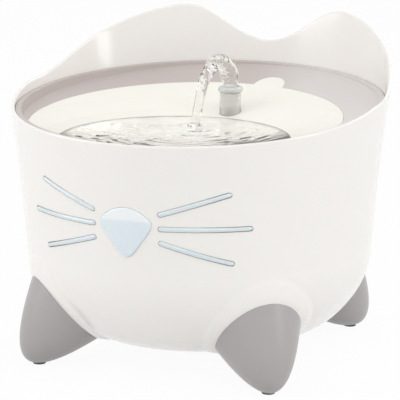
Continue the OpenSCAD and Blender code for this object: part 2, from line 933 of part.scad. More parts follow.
reservoir_shell();
leg_front_left();
leg_front_right();
leg_rear_left();
leg_rear_right();
leg_screws();
foot_pads();
nose_lens();
nose_gasket();
whisker_window_left();
whisker_window_right();
whisker_gaskets();
led_pod();
led_board();
led_lamps();
cable_grommet();
pump_body();
pump_cover();
rotor_magnet();
impeller();
impeller_shaft();
shaft_bushes();
flow_dial();
suction_feet();
foam_cap();
riser_tube();
deck_ring();
deck_seal();
drinking_dish();
spout_post();
spout_collar();
spout_seal();
filter_basket();
filter_cartridge();
filter_grid();
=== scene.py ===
"""Looks of a pet water fountain: moulded shell on legs, lift-off tray, spout, filter, pump and water."""

from __future__ import annotations

import logging
import math
from dataclasses import dataclass, field
from enum import Enum
from typing import Any, Sequence

import bmesh
import bpy
from mathutils import Matrix, Vector, noise

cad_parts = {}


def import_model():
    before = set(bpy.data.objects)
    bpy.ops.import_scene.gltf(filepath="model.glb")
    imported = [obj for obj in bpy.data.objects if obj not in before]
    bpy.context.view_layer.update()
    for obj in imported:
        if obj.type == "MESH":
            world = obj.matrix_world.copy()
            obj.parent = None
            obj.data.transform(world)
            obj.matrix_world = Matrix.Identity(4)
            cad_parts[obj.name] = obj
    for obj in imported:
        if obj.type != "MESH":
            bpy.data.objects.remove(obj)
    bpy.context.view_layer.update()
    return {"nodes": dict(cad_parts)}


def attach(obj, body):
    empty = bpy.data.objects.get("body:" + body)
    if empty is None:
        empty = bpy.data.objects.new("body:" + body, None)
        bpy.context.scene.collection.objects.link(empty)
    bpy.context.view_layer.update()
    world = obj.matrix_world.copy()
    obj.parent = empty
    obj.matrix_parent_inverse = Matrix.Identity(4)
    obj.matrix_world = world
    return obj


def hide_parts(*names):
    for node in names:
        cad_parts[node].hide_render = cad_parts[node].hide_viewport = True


LOG = logging.getLogger("pet_fountain")
MM = 0.001
Colour = tuple[float, float, float]


def tone(red: float, green: float, blue: float) -> Colour:
    """Turns a screen colour into a linear one.

    Args:
        red, green, blue: the screen colour, 0 to 255.

    Returns:
        The linear colour, 0 to 1.
    """

    def linear(v: float) -> float:
        """One channel, made linear."""
        v /= 255
        return v / 12.92 if v <= 0.04045 else ((v + 0.055) / 1.055) ** 2.4

    return linear(red), linear(green), linear(blue)


def shaded(colour: Colour, factor: float, lift: float = 0.0) -> Colour:
    """Makes a colour darker or lighter, with no channel past full.

    Args:
        colour: the linear colour.
        factor: what each channel is multiplied by.
        lift: what is then added to it.

    Returns:
        The new colour.
    """
    red, green, blue = (min(1.0, c * factor + lift) for c in colour)
    return red, green, blue


def smoothstep(low: float, high: float, v: float) -> float:
    """Rises smoothly from 0 at low to 1 at high.

    Args:
        low, high: where the rise starts and ends.
        v: the value to look up.

    Returns:
        A share from 0 to 1.
    """
    t = min(1.0, max(0.0, (v - low) / (high - low)))
    return t * t * (3 - 2 * t)


# ---------------------------------------------------------------- shader maths


class Value:
    """A number that a material computes, with Python's operators."""

    def __init__(self, surface: Surface, socket: bpy.types.NodeSocket) -> None:
        """Wraps one output socket of a surface's nodes."""
        self.surface = surface
        self.socket = socket

    def maths(self, operation: str, *values: Value | float) -> Value:
        """Adds one Math node.

        Args:
            operation: the node's operation.
            values: its inputs in order.

        Returns:
            The node's output.
        """
        return self.surface.value("ShaderNodeMath", {"operation": operation}, dict(enumerate(values)))

    def __add__(self, other: Value | float) -> Value:
        """Sum."""
        return self.maths("ADD", self, other)

    __radd__ = __add__

    def __sub__(self, other: Value | float) -> Value:
        """Difference."""
        return self.maths("SUBTRACT", self, other)

    def __rsub__(self, other: float) -> Value:
        """Difference, reflected."""
        return self.maths("SUBTRACT", other, self)

    def __mul__(self, other: Value | float) -> Value:
        """Product."""
        return self.maths("MULTIPLY", self, other)

    __rmul__ = __mul__

    def __pow__(self, other: float) -> Value:
        """Power."""
        return self.maths("POWER", self, other)

    def rise(self, low: float, high: float) -> Value:
        """Smooth rise from 0 to 1.

        Args:
            low, high: where the rise starts and ends; low may be the larger one.

        Returns:
            The share, 0 to 1.
        """
        if low > high:
            return 1 - self.rise(high, low)
        return self.surface.value(
            "ShaderNodeMapRange",
            {"interpolation_type": "SMOOTHSTEP"},
            {0: self, 1: low, 2: high, 3: 0.0, 4: 1.0},
        )


class Surface:
    """A material that is being built."""

    def __init__(self, name: str) -> None:
        """Starts an empty material of that name."""
        self.material = bpy.data.materials.new(name)
        self.material.use_nodes = True
        self.tree = self.material.node_tree
        self.tree.nodes.clear()
        self._place: bpy.types.NodeSocket | None = None

    def node(
        self,
        kind: str,
        settings: dict[str, Any] | None = None,
        inputs: dict[int | str, Any] | None = None,
    ) -> bpy.types.Node:
        """Adds a node.

        Args:
            kind: the node's type.
            settings: its properties, set first; "stops" are a ramp's (place, colour) pairs.
            inputs: values or links of its sockets.

        Returns:
            The node.
        """
        made = self.tree.nodes.new(kind)
        for name, setting in (settings or {}).items():
            if name == "stops":
                elements = made.color_ramp.elements
                while len(elements) < len(setting):
                    elements.new(0.5)
                for element, (place, colour) in zip(elements, setting):
                    element.position = place
                    element.color = (*colour, 1.0)
            else:
                setattr(made, name, setting)
        for key, given in (inputs or {}).items():
            if isinstance(given, Value):
                given = given.socket
            if isinstance(given, bpy.types.NodeSocket):
                self.tree.links.new(given, made.inputs[key])
            elif isinstance(given, tuple) and len(given) == 3 and made.inputs[key].type == "RGBA":
                made.inputs[key].default_value = (*given, 1.0)
            else:
                made.inputs[key].default_value = given
        return made

    def value(
        self,
        kind: str,
        settings: dict[str, Any] | None = None,
        inputs: dict[int | str, Any] | None = None,
        output: int | str = 0,
    ) -> Value:
        """Adds a node and returns one of its outputs as a number."""
        return Value(self, self.node(kind, settings, inputs).outputs[output])

    def place(self) -> bpy.types.NodeSocket:
        """Object coordinates, in metres."""
        if self._place is None:
            self._place = self.node("ShaderNodeTexCoord").outputs["Object"]
        return self._place

    def stretched(self, scale: tuple[float, float, float]) -> bpy.types.NodeSocket:
        """Object coordinates scaled along the axes."""
        made = self.node("ShaderNodeVectorMath", {"operation": "MULTIPLY"}, {0: self.place(), 1: scale})
        return made.outputs[0]

    def axes(self) -> tuple[Value, Value, Value]:
        """The three object coordinates as numbers."""
        x, y, z = self.node("ShaderNodeSeparateXYZ", None, {0: self.place()}).outputs
        return Value(self, x), Value(self, y), Value(self, z)

    def cloud(
        self,
        per_metre: float,
        detail: float = 3.0,
        roughness: float = 0.55,
        at: bpy.types.NodeSocket | None = None,
        distortion: float = 0.0,
    ) -> Value:
        """Soft noise.

        Args:
            per_metre: patches per metre.
            detail: octaves of finer noise.
            roughness: strength of the finer noise.
            at: coordinates, or object coordinates if left out.
            distortion: how much the patches are warped.

        Returns:
            The noise, about 0.2 to 0.8.
        """
        return self.value(
            "ShaderNodeTexNoise",
            None,
            {
                "Vector": at or self.place(),
                "Scale": per_metre,
                "Detail": detail,
                "Roughness": roughness,
                "Distortion": distortion,
            },
        )

    def cells(self, per_metre: float) -> Value:
        """Distance to the nearest of many scattered points."""
        inputs = {"Vector": self.place(), "Scale": per_metre}
        return self.value("ShaderNodeTexVoronoi", None, inputs, "Distance")

    def blend(self, share: Value | float, first: Any, second: Any) -> bpy.types.NodeSocket:
        """Mixes two colours.

        Args:
            share: how much of the second colour.
            first, second: colours or colour sockets.

        Returns:
            The mixed colour.
        """
        return self.node(
            "ShaderNodeMix", {"data_type": "RGBA"}, {0: share, 6: first, 7: second}
        ).outputs[2]

    def relief(self, height: Value, depth: float, strength: float = 1.0) -> bpy.types.NodeSocket:
        """Turns a height field into a normal.

        Args:
            height: the field, where 1 stands for depth metres.
            depth: its height in metres.
            strength: how strongly it shows.

        Returns:
            The normal.
        """
        return self.node(
            "ShaderNodeBump", None, {"Strength": strength, "Distance": depth, "Height": height}
        ).outputs[0]

    def layered(self, share: Value, first: bpy.types.Node, second: bpy.types.Node) -> bpy.types.NodeSocket:
        """Mixes the shaders of two nodes; share is how much of the second."""
        inputs = {0: share, 1: first.outputs[0], 2: second.outputs[0]}
        return self.node("ShaderNodeMixShader", None, inputs).outputs[0]

    def lit_through(self, shader: bpy.types.NodeSocket, share: float, colour: Colour) -> bpy.types.NodeSocket:
        """Lets light pass into the piece's own shadow.

        Args:
            shader: the piece's shader.
            share: how much of the light passes.
            colour: what colour it takes on.

        Returns:
            The shader with its lighter shadow.
        """
        clear = self.node("ShaderNodeBsdfTransparent", None, {"Color": colour})
        shadow = self.value("ShaderNodeLightPath", output="Is Shadow Ray")
        return self.layered(shadow * share, shader.node, clear)

    def close(self, shader: bpy.types.NodeSocket) -> bpy.types.Material:
        """Joins the shader to the output and returns the finished material."""
        self.node("ShaderNodeOutputMaterial", None, {"Surface": shader})
        return self.material

    def plastic(self, **sockets: Any) -> bpy.types.NodeSocket:
        """The layered shader, with its sockets named in lower case."""
        names = {key.replace("_", " ").title().replace("Ior", "IOR"): given for key, given in sockets.items()}
        return self.node("ShaderNodeBsdfPrincipled", None, names).outputs[0]


# ---------------------------------------------------------------- finishes


@dataclass(frozen=True)
class Moulded:
    """Injection-moulded plastic: faint flow clouds, orange peel and rubbed patches in the gloss; if given,
    painted light turns its colour lighter along X.
    """

    colour: Colour
    roughness: float = 0.25
    coat: float = 0.0
    clouds: float = 0.02
    peel: float = 0.012
    grain: float = 260.0
    rub: float = 0.08
    bleed: float = 0.0
    # Painted light: an optional lighter colour, and the span along X over which the colour turns to it.
    painted_light: Colour | None = None
    painted_light_x: tuple[float, float] = (0.0, 0.0)

    def dress(self, name: str) -> bpy.types.Material:
        """Builds the material of that name."""
        s = Surface(name)
        flow = s.cloud(11, 3, 0.5, distortion=0.4)
        fine = s.cloud(self.grain, 2, 0.5)
        rubbed = s.cloud(38, 4, 0.62)
        dust = s.cells(420).rise(0.10, 0.03) * s.cloud(70, 2).rise(0.52, 0.68)
        dark = shaded(self.colour, 1 - 2.2 * self.clouds)
        light = shaded(self.colour, 1 + self.clouds)
        base = s.blend(flow.rise(0.3, 0.7), dark, light)
        # Painted light: the colour turns lighter along X, standing in for light falling on that side.
        if self.painted_light:
            base = s.blend((s.axes()[0] + (flow - 0.5) * 0.03).rise(*self.painted_light_x), base, self.painted_light)
        base = s.blend(dust * 0.12, base, shaded(self.colour, 0.6))
        return s.close(
            s.plastic(
                base_color=base,
                roughness=(rubbed - 0.5) * self.rub + self.roughness + dust * 0.1,
                coat_weight=self.coat,
                coat_roughness=0.06,
                subsurface_weight=self.bleed,
                subsurface_scale=0.004,
                normal=s.relief(fine, self.peel * MM, 1.0),
            )
        )


@dataclass(frozen=True)
class Clear:
    """Clear or tinted moulded plastic that lets light through."""

    colour: Colour
    roughness: float = 0.04
    through: float = 1.0
    ripple: float = 0.02
    ior: float = 1.45

    def dress(self, name: str) -> bpy.types.Material:
        """Builds the material of that name."""
        s = Surface(name)
        flow = s.cloud(120, 2, 0.5, distortion=0.6)
        haze = s.cloud(300, 3, 0.6)
        base = s.blend(flow.rise(0.25, 0.75), shaded(self.colour, 0.94), self.colour)
        shader = s.plastic(
            base_color=base,
            roughness=(haze - 0.5) * 0.06 + self.roughness,
            transmission_weight=self.through,
            ior=self.ior,
            normal=s.relief(flow, self.ripple * MM),
        )
        return s.close(s.lit_through(shader, 0.85 * self.through, shaded(self.colour, 0.5, 0.5)))


@dataclass(frozen=True)
class TintedLens:
    """Milky tinted window plastic with a painted highlight: its colour turns paler towards its upper edge."""

    colour: Colour
    # pale: the painted highlight colour that the upper part turns to.
    pale: Colour
    highlight_edge_z: float = 0.105
    highlight_spread: float = 0.004
    roughness: float = 0.12

    def dress(self, name: str) -> bpy.types.Material:
        """Builds the material of that name."""
        s = Surface(name)
        _, _, height = s.axes()
        flow = s.cloud(90, 3, 0.55, distortion=0.5)
        # Painted highlight: the colour turns to the pale one above a set height, standing in for light on the
        # upper part.
        share = (height + (flow - 0.5) * 0.004).rise(self.highlight_edge_z - self.highlight_spread, self.highlight_edge_z + self.highlight_spread)
        base = s.blend(share, self.colour, self.pale)
        base = s.blend(flow.rise(0.35, 0.75) * 0.25, base, shaded(self.colour, 0.92))
        return s.close(
            s.plastic(
                base_color=base,
                roughness=(s.cloud(240, 2) - 0.5) * 0.08 + self.roughness,
                coat_weight=0.6,
                coat_roughness=0.04,
                subsurface_weight=0.25,
                subsurface_scale=0.003,
                normal=s.relief(flow, 0.02 * MM),
            )
        )


@dataclass(frozen=True)
class Rubber:
    """Soft rubber: dull, with a fine bloom and tiny pits."""

    colour: Colour
    roughness: float = 0.7

    def dress(self, name: str) -> bpy.types.Material:
        """Builds the material of that name."""
        s = Surface(name)
        bloom = s.cloud(160, 4, 0.65)
        pits = s.cells(1500)
        base = s.blend(
            bloom.rise(0.4, 0.7) * 0.5, self.colour, shaded(self.colour, 1.35, 0.02)
        )
        return s.close(
            s.plastic(
                base_color=base,
                roughness=(bloom - 0.5) * 0.25 + self.roughness,
                specular_ior_level=0.35,
                normal=s.relief(pits, 0.05 * MM, 0.6),
            )
        )


@dataclass(frozen=True)
class Steel:
    """Turned steel with fine tool marks."""

    colour: Colour
    roughness: float = 0.28
    along: tuple[float, float, float] = (60.0, 60.0, 4000.0)

    def dress(self, name: str) -> bpy.types.Material:
        """Builds the material of that name."""
        s = Surface(name)
        marks = s.cloud(1.0, 3, 0.6, s.stretched(self.along))
        stain = s.cloud(200, 3, 0.6)
        base = s.blend(stain.rise(0.55, 0.8) * 0.4, self.colour, shaded(self.colour, 0.75))
        return s.close(
            s.plastic(
                base_color=base,
                metallic=1.0,
                roughness=(marks - 0.5) * 0.2 + self.roughness,
                normal=s.relief(marks, 0.01 * MM),
            )
        )


@dataclass(frozen=True)
class Foam:
    """Open-cell foam, its pores darkened in colour as painted shade."""

    colour: Colour

    def dress(self, name: str) -> bpy.types.Material:
        """Builds the material of that name."""
        s = Surface(name)
        pores = s.cells(620)
        small = s.cells(1500)
        pore_depth_and_shade = pores.rise(0.42, 0.15) * 0.7 + small.rise(0.4, 0.15) * 0.3
        # Painted shade: the pores are darkened in colour, standing in for the shade inside them; the same
        # mask also sets their roughness and depth.
        base = s.blend(pore_depth_and_shade, self.colour, shaded(self.colour, 0.25))
        return s.close(
            s.plastic(
                base_color=base,
                roughness=0.95 - pore_depth_and_shade * 0.1,
                specular_ior_level=0.2,
                sheen_weight=0.25,
                normal=s.relief(1 - pore_depth_and_shade, 0.5 * MM),
            )
        )


@dataclass(frozen=True)
class Felt:
    """Needled filter felt with carbon specks."""

    colour: Colour

    def dress(self, name: str) -> bpy.types.Material:
        """Builds the material of that name."""
        s = Surface(name)
        strands = s.cloud(900, 5, 0.75, distortion=2.0)
        specks = s.cells(700).rise(0.16, 0.08) * s.cloud(160, 2).rise(0.45, 0.6)
        base = s.blend(strands.rise(0.3, 0.7), shaded(self.colour, 0.82), self.colour)
        base = s.blend(specks * 0.8, base, (0.06, 0.06, 0.065))
        return s.close(
            s.plastic(
                base_color=base,
                roughness=0.9 + (strands - 0.5) * 0.15,
                sheen_weight=0.4,
                specular_ior_level=0.25,
                normal=s.relief(strands, 0.35 * MM),
            )
        )


@dataclass(frozen=True)
class CircuitBoard:
    """Lacquered circuit board with tracks."""

    colour: Colour

    def dress(self, name: str) -> bpy.types.Material:
        """Builds the material of that name."""
        s = Surface(name)
        pitch = s.axes()[2] * 520
        off = pitch.maths("FRACT", pitch) - 0.5
        rows = off.maths("ABSOLUTE", off)
        gate = s.cloud(150, 0).rise(0.46, 0.5)
        track = rows.rise(0.16, 0.10) * gate
        base = s.blend(track * 0.8, self.colour, shaded(self.colour, 2.2, 0.03))
        return s.close(
            s.plastic(
                base_color=base,
                roughness=0.35 + (s.cloud(400, 2) - 0.5) * 0.1,
                coat_weight=0.5,
                normal=s.relief(track, 0.05 * MM),
            )
        )


@dataclass(frozen=True)
class Water:
    """Clear moving water; the pool's colour may be darkened in a ring at its edge as painted shade."""

    ripple: float = 0.05
    scale: float = 90.0
    tint: Colour = (0.985, 0.99, 0.985)
    edge_shade_centre: tuple[float, float] | None = None
    rim_r: float = 0.0
    edge_shade_width: float = 0.0050

    def dress(self, name: str) -> bpy.types.Material:
        """Builds the material of that name."""
        s = Surface(name)
        waves = s.cloud(self.scale, 3, 0.55, distortion=0.8)
        base = s.blend(waves.rise(0.3, 0.7), shaded(self.tint, 0.985), self.tint)
        # Painted shade: the colour darkens in a ring at the pool's edge, standing in for the dark refraction
        # there.
        if self.edge_shade_centre:
            x, y, _ = s.axes()
            reach = ((x - self.edge_shade_centre[0]) ** 2 + (y - self.edge_shade_centre[1]) ** 2) ** 0.5
            rim = reach.rise(self.rim_r - self.edge_shade_width, self.rim_r)
            base = s.blend(rim * 0.8, base, shaded(self.tint, 0.5))
        shader = s.plastic(
            base_color=base,
            roughness=waves * 0.01,
            transmission_weight=1.0,
            ior=1.333,
            normal=s.relief(waves, self.ripple * MM * 10),
        )
        return s.close(s.lit_through(shader, 1.0, (0.97, 0.975, 0.975)))


@dataclass(frozen=True)
class StudioFloor:
    """Pale floor that shows white to the camera and still takes the object's shadow."""

    colour: Colour = (0.86, 0.86, 0.86)
    shown: float = 0.95

    def dress(self, name: str) -> bpy.types.Material:
        """Builds the material of that name."""
        s = Surface(name)
        path = s.node("ShaderNodeLightPath")
        seen = Value(s, path.outputs["Is Camera Ray"])
        for ray in ("Is Glossy Ray", "Is Transmission Ray"):
            seen = seen.maths("MAXIMUM", seen, Value(s, path.outputs[ray]))
        grain = s.cloud(30, 3)
        base = s.blend(grain, shaded(self.colour, 0.99), self.colour)
        matt = s.node("ShaderNodeBsdfDiffuse", None, {"Color": base})
        glow = s.node("ShaderNodeEmission", None, {"Color": (1.0, 1.0, 1.0), "Strength": 1.0})
        return s.close(s.layered(seen * self.shown, matt, glow))


# ---------------------------------------------------------------- mesh helpers

SHARP = 32.0
SAME_POINT = 1e-6


def shade_smooth(bm: bmesh.types.BMesh, sharp: float) -> None:
    """Shades a mesh smooth, but for the edges that turn more than that many degrees."""
    limit = math.radians(sharp)
    for face in bm.faces:
        face.smooth = True
    for edge in bm.edges:
        edge.smooth = edge.calc_face_angle(math.pi) < limit


def join(whole: bmesh.types.BMesh, part: bmesh.types.BMesh) -> None:
    """Adds one mesh to another and frees it."""
    mesh = bpy.data.meshes.new("part")
    part.to_mesh(mesh)
    part.free()
    whole.from_mesh(mesh)
    bpy.data.meshes.remove(mesh)


def to_piece(
    bm: bmesh.types.BMesh, name: str, sharp: float = SHARP, outward: bool = False
) -> bpy.types.Object:
    """Turns a bmesh into an object at the origin.

    Args:
        bm: the mesh, which is freed.
        name: the object's name.
        sharp: edges that turn more than this many degrees are shaded sharp.
        outward: whether the normals are recalculated.

    Returns:
        The object, linked to the scene.
    """
    if outward:
        bmesh.ops.recalc_face_normals(bm, faces=bm.faces)
    shade_smooth(bm, sharp)
    mesh = bpy.data.meshes.new(name)
    bm.to_mesh(mesh)
    bm.free()
    made = bpy.data.objects.new(name, mesh)
    bpy.context.scene.collection.objects.link(made)
    return made


def cut(piece: bpy.types.Object, tools: Sequence[bpy.types.Object]) -> None:
    """Cuts a piece with tool objects, which are removed.

    Args:
        piece: the object whose mesh changes.
        tools: closed meshes.
    """
    for tool in tools:
        modifier = piece.modifiers.new("cut", "BOOLEAN")
        modifier.operation = "DIFFERENCE"
        modifier.solver = "EXACT"
        modifier.object = tool
    graph = bpy.context.evaluated_depsgraph_get()
    mesh = bpy.data.meshes.new_from_object(piece.evaluated_get(graph))
    piece.modifiers.clear()
    old, piece.data = piece.data, mesh
    bpy.data.meshes.remove(old)
    mesh.name = piece.name
    for tool in tools:
        bpy.data.objects.remove(tool)
    bm = bmesh.new()
    bm.from_mesh(mesh)
    bmesh.ops.remove_doubles(bm, verts=bm.verts, dist=2e-6)
    bmesh.ops.dissolve_degenerate(bm, edges=bm.edges, dist=SAME_POINT)
    shade_smooth(bm, SHARP)
    bm.to_mesh(mesh)
    bm.free()


def spun(outline: Sequence[tuple[float, float]], steps: int) -> bmesh.types.BMesh:
    """Spins an outline a full turn about Z.

    Args:
        outline: (radius, height) points in order, in metres.
        steps: sectors of the spin.

    Returns:
        A bmesh whose vertices carry their outline number in the layer "row".
    """
    bm = bmesh.new()
    row = bm.verts.layers.int.new("row")
    last = None
    for i, (radius, height) in enumerate(outline):
        vert = bm.verts.new((radius, 0.0, height))
        vert[row] = i
        if last is not None:
            bm.edges.new((last, vert))
        last = vert
    bmesh.ops.spin(
        bm,
        geom=bm.verts[:] + bm.edges[:],
        cent=(0, 0, 0),
        axis=(0, 0, 1),
        dvec=(0, 0, 0),
        angle=math.tau,
        steps=steps,
        use_merge=True,
        use_normal_flip=False,
        use_duplicate=False,
    )
    poles = [v for v in bm.verts if math.hypot(v.co.x, v.co.y) < SAME_POINT]
    bmesh.ops.remove_doubles(bm, verts=poles, dist=1e-5)
    return bm


class Curve2D:
    """A smooth line through knots, each a point with a handle."""

    def __init__(
        self, knots: Sequence[tuple[tuple[float, float], tuple[float, float]]], steps: int = 24
    ) -> None:
        """Samples the line with that many steps per span."""
        self.points: list[tuple[float, float]] = [knots[0][0]]
        for (a, ha), (b, hb) in zip(knots, knots[1:]):
            for j in range(1, steps + 1):
                t = j / steps
                u = 1 - t
                self.points.append(
                    tuple(
                        a[k] * u**3
                        + (a[k] + ha[k]) * 3 * t * u * u
                        + (b[k] - hb[k]) * 3 * t * t * u
                        + b[k] * t**3
                        for k in (0, 1)
                    )
                )

    def height(self, place: float) -> float:
        """The line's second coordinate at a place along its first."""
        if place <= self.points[0][0]:
            return self.points[0][1]
        for (x0, z0), (x1, z1) in zip(self.points, self.points[1:]):
            if place <= x1:
                return z0 + (z1 - z0) * (place - x0) / max(1e-9, x1 - x0)
        return self.points[-1][1]


# ---------------------------------------------------------------- studio


@dataclass
class Studio:
    """Camera, lamps, world and floor."""

    azimuth: float = 22.7
    elevation: float = 13.0
    distance: float = 1.260
    target: tuple[float, float, float] = (0.0, 0.0, 0.09513)
    lens: float = 178.2
    shift: float = 0.00125
    ambient: float = 0.72

    def build(self) -> None:
        """Sets up the whole studio."""
        self.camera()
        self.world()
        self.floor()
        self.lamp("key_softbox", (0.50, -0.95, 1.45), (0.8, 0.8), 3.8)
        self.lamp("side_strip", (1.30, -0.05, 0.75), (0.25, 1.1), 3.2)
        self.lamp("left_fill", (-1.30, -0.75, 0.75), (0.9, 0.9), 5.5)
        self.lamp("back_rim", (0.35, 1.25, 1.25), (1.0, 0.5), 3.0)
        bpy.context.scene.view_settings.view_transform = "Standard"

    def camera(self) -> None:
        """Adds the camera and makes it the scene's."""
        a, e = math.radians(self.azimuth), math.radians(self.elevation)
        back = Vector((math.sin(a) * math.cos(e), -math.cos(a) * math.cos(e), math.sin(e)))
        data = bpy.data.cameras.new("camera")
        data.sensor_width = 36.0
        data.lens = self.lens
        data.shift_x = self.shift
        data.clip_start, data.clip_end = 0.05, 50.0
        made = bpy.data.objects.new("camera", data)
        made.location = Vector(self.target) + back * self.distance
        made.rotation_euler = (-back).to_track_quat("-Z", "Y").to_euler()
        bpy.context.scene.collection.objects.link(made)
        bpy.context.scene.camera = made

    def lamp(self, name: str, at: Sequence[float], size: tuple[float, float], power: float) -> None:
        """Adds a rectangular softbox that points at the object.

        Args:
            name: its name.
            at: its place.
            size: its width and height in metres.
            power: its power in watts.
        """
        data = bpy.data.lights.new(name, "AREA")
        data.shape = "RECTANGLE"
        data.size, data.size_y = size
        data.energy = power
        made = bpy.data.objects.new(name, data)
        made.location = at
        made.rotation_euler = (Vector((0, 0, 0.1)) - Vector(at)).to_track_quat("-Z", "Y").to_euler()
        bpy.context.scene.collection.objects.link(made)

    def world(self) -> None:
        """White surroundings for what sees them, and a softer level of light from them."""
        world = bpy.data.worlds.new("studio_world")
        world.use_nodes = True
        tree = world.node_tree
        tree.nodes.clear()
        path = tree.nodes.new("ShaderNodeLightPath")
        seen = path.outputs["Is Camera Ray"]
        for name in ("Is Glossy Ray", "Is Transmission Ray"):
            both = tree.nodes.new("ShaderNodeMath")
            both.operation = "MAXIMUM"
            tree.links.new(seen, both.inputs[0])
            tree.links.new(path.outputs[name], both.inputs[1])
            seen = both.outputs[0]
        soft, white = tree.nodes.new("ShaderNodeBackground"), tree.nodes.new("ShaderNodeBackground")
        soft.inputs["Strength"].default_value = self.ambient
        soft.inputs["Color"].default_value = (1.0, 1.0, 1.0, 1.0)
        white.inputs["Color"].default_value = (1.0, 1.0, 1.0, 1.0)
        mix = tree.nodes.new("ShaderNodeMixShader")
        tree.links.new(seen, mix.inputs[0])
        tree.links.new(soft.outputs[0], mix.inputs[1])
        tree.links.new(white.outputs[0], mix.inputs[2])
        out = tree.nodes.new("ShaderNodeOutputWorld")
        tree.links.new(mix.outputs[0], out.inputs[0])
        bpy.context.scene.world = world

    def floor(self) -> None:
        """Adds the floor."""
        bm = bmesh.new()
        bmesh.ops.create_grid(bm, x_segments=4, y_segments=4, size=8.0)
        made = to_piece(bm, "studio_floor")
        made.data.materials.append(StudioFloor().dress("studio_floor"))


# ---------------------------------------------------------------- housing


class Zone(Enum):
    """Where a ring of the shell's outline lies."""

    BELLY = "belly"
    WALL = "wall"
    EDGE = "edge"
    INNER = "inner"
    SOCKET = "socket"
    LOWER = "lower"


@dataclass(frozen=True)
class Ring:
    """One ring of the shell: its zone, a share or height in that zone, and its radius or inset."""

    zone: Zone
    share: float
    inset: float
    radius: float = 0.0


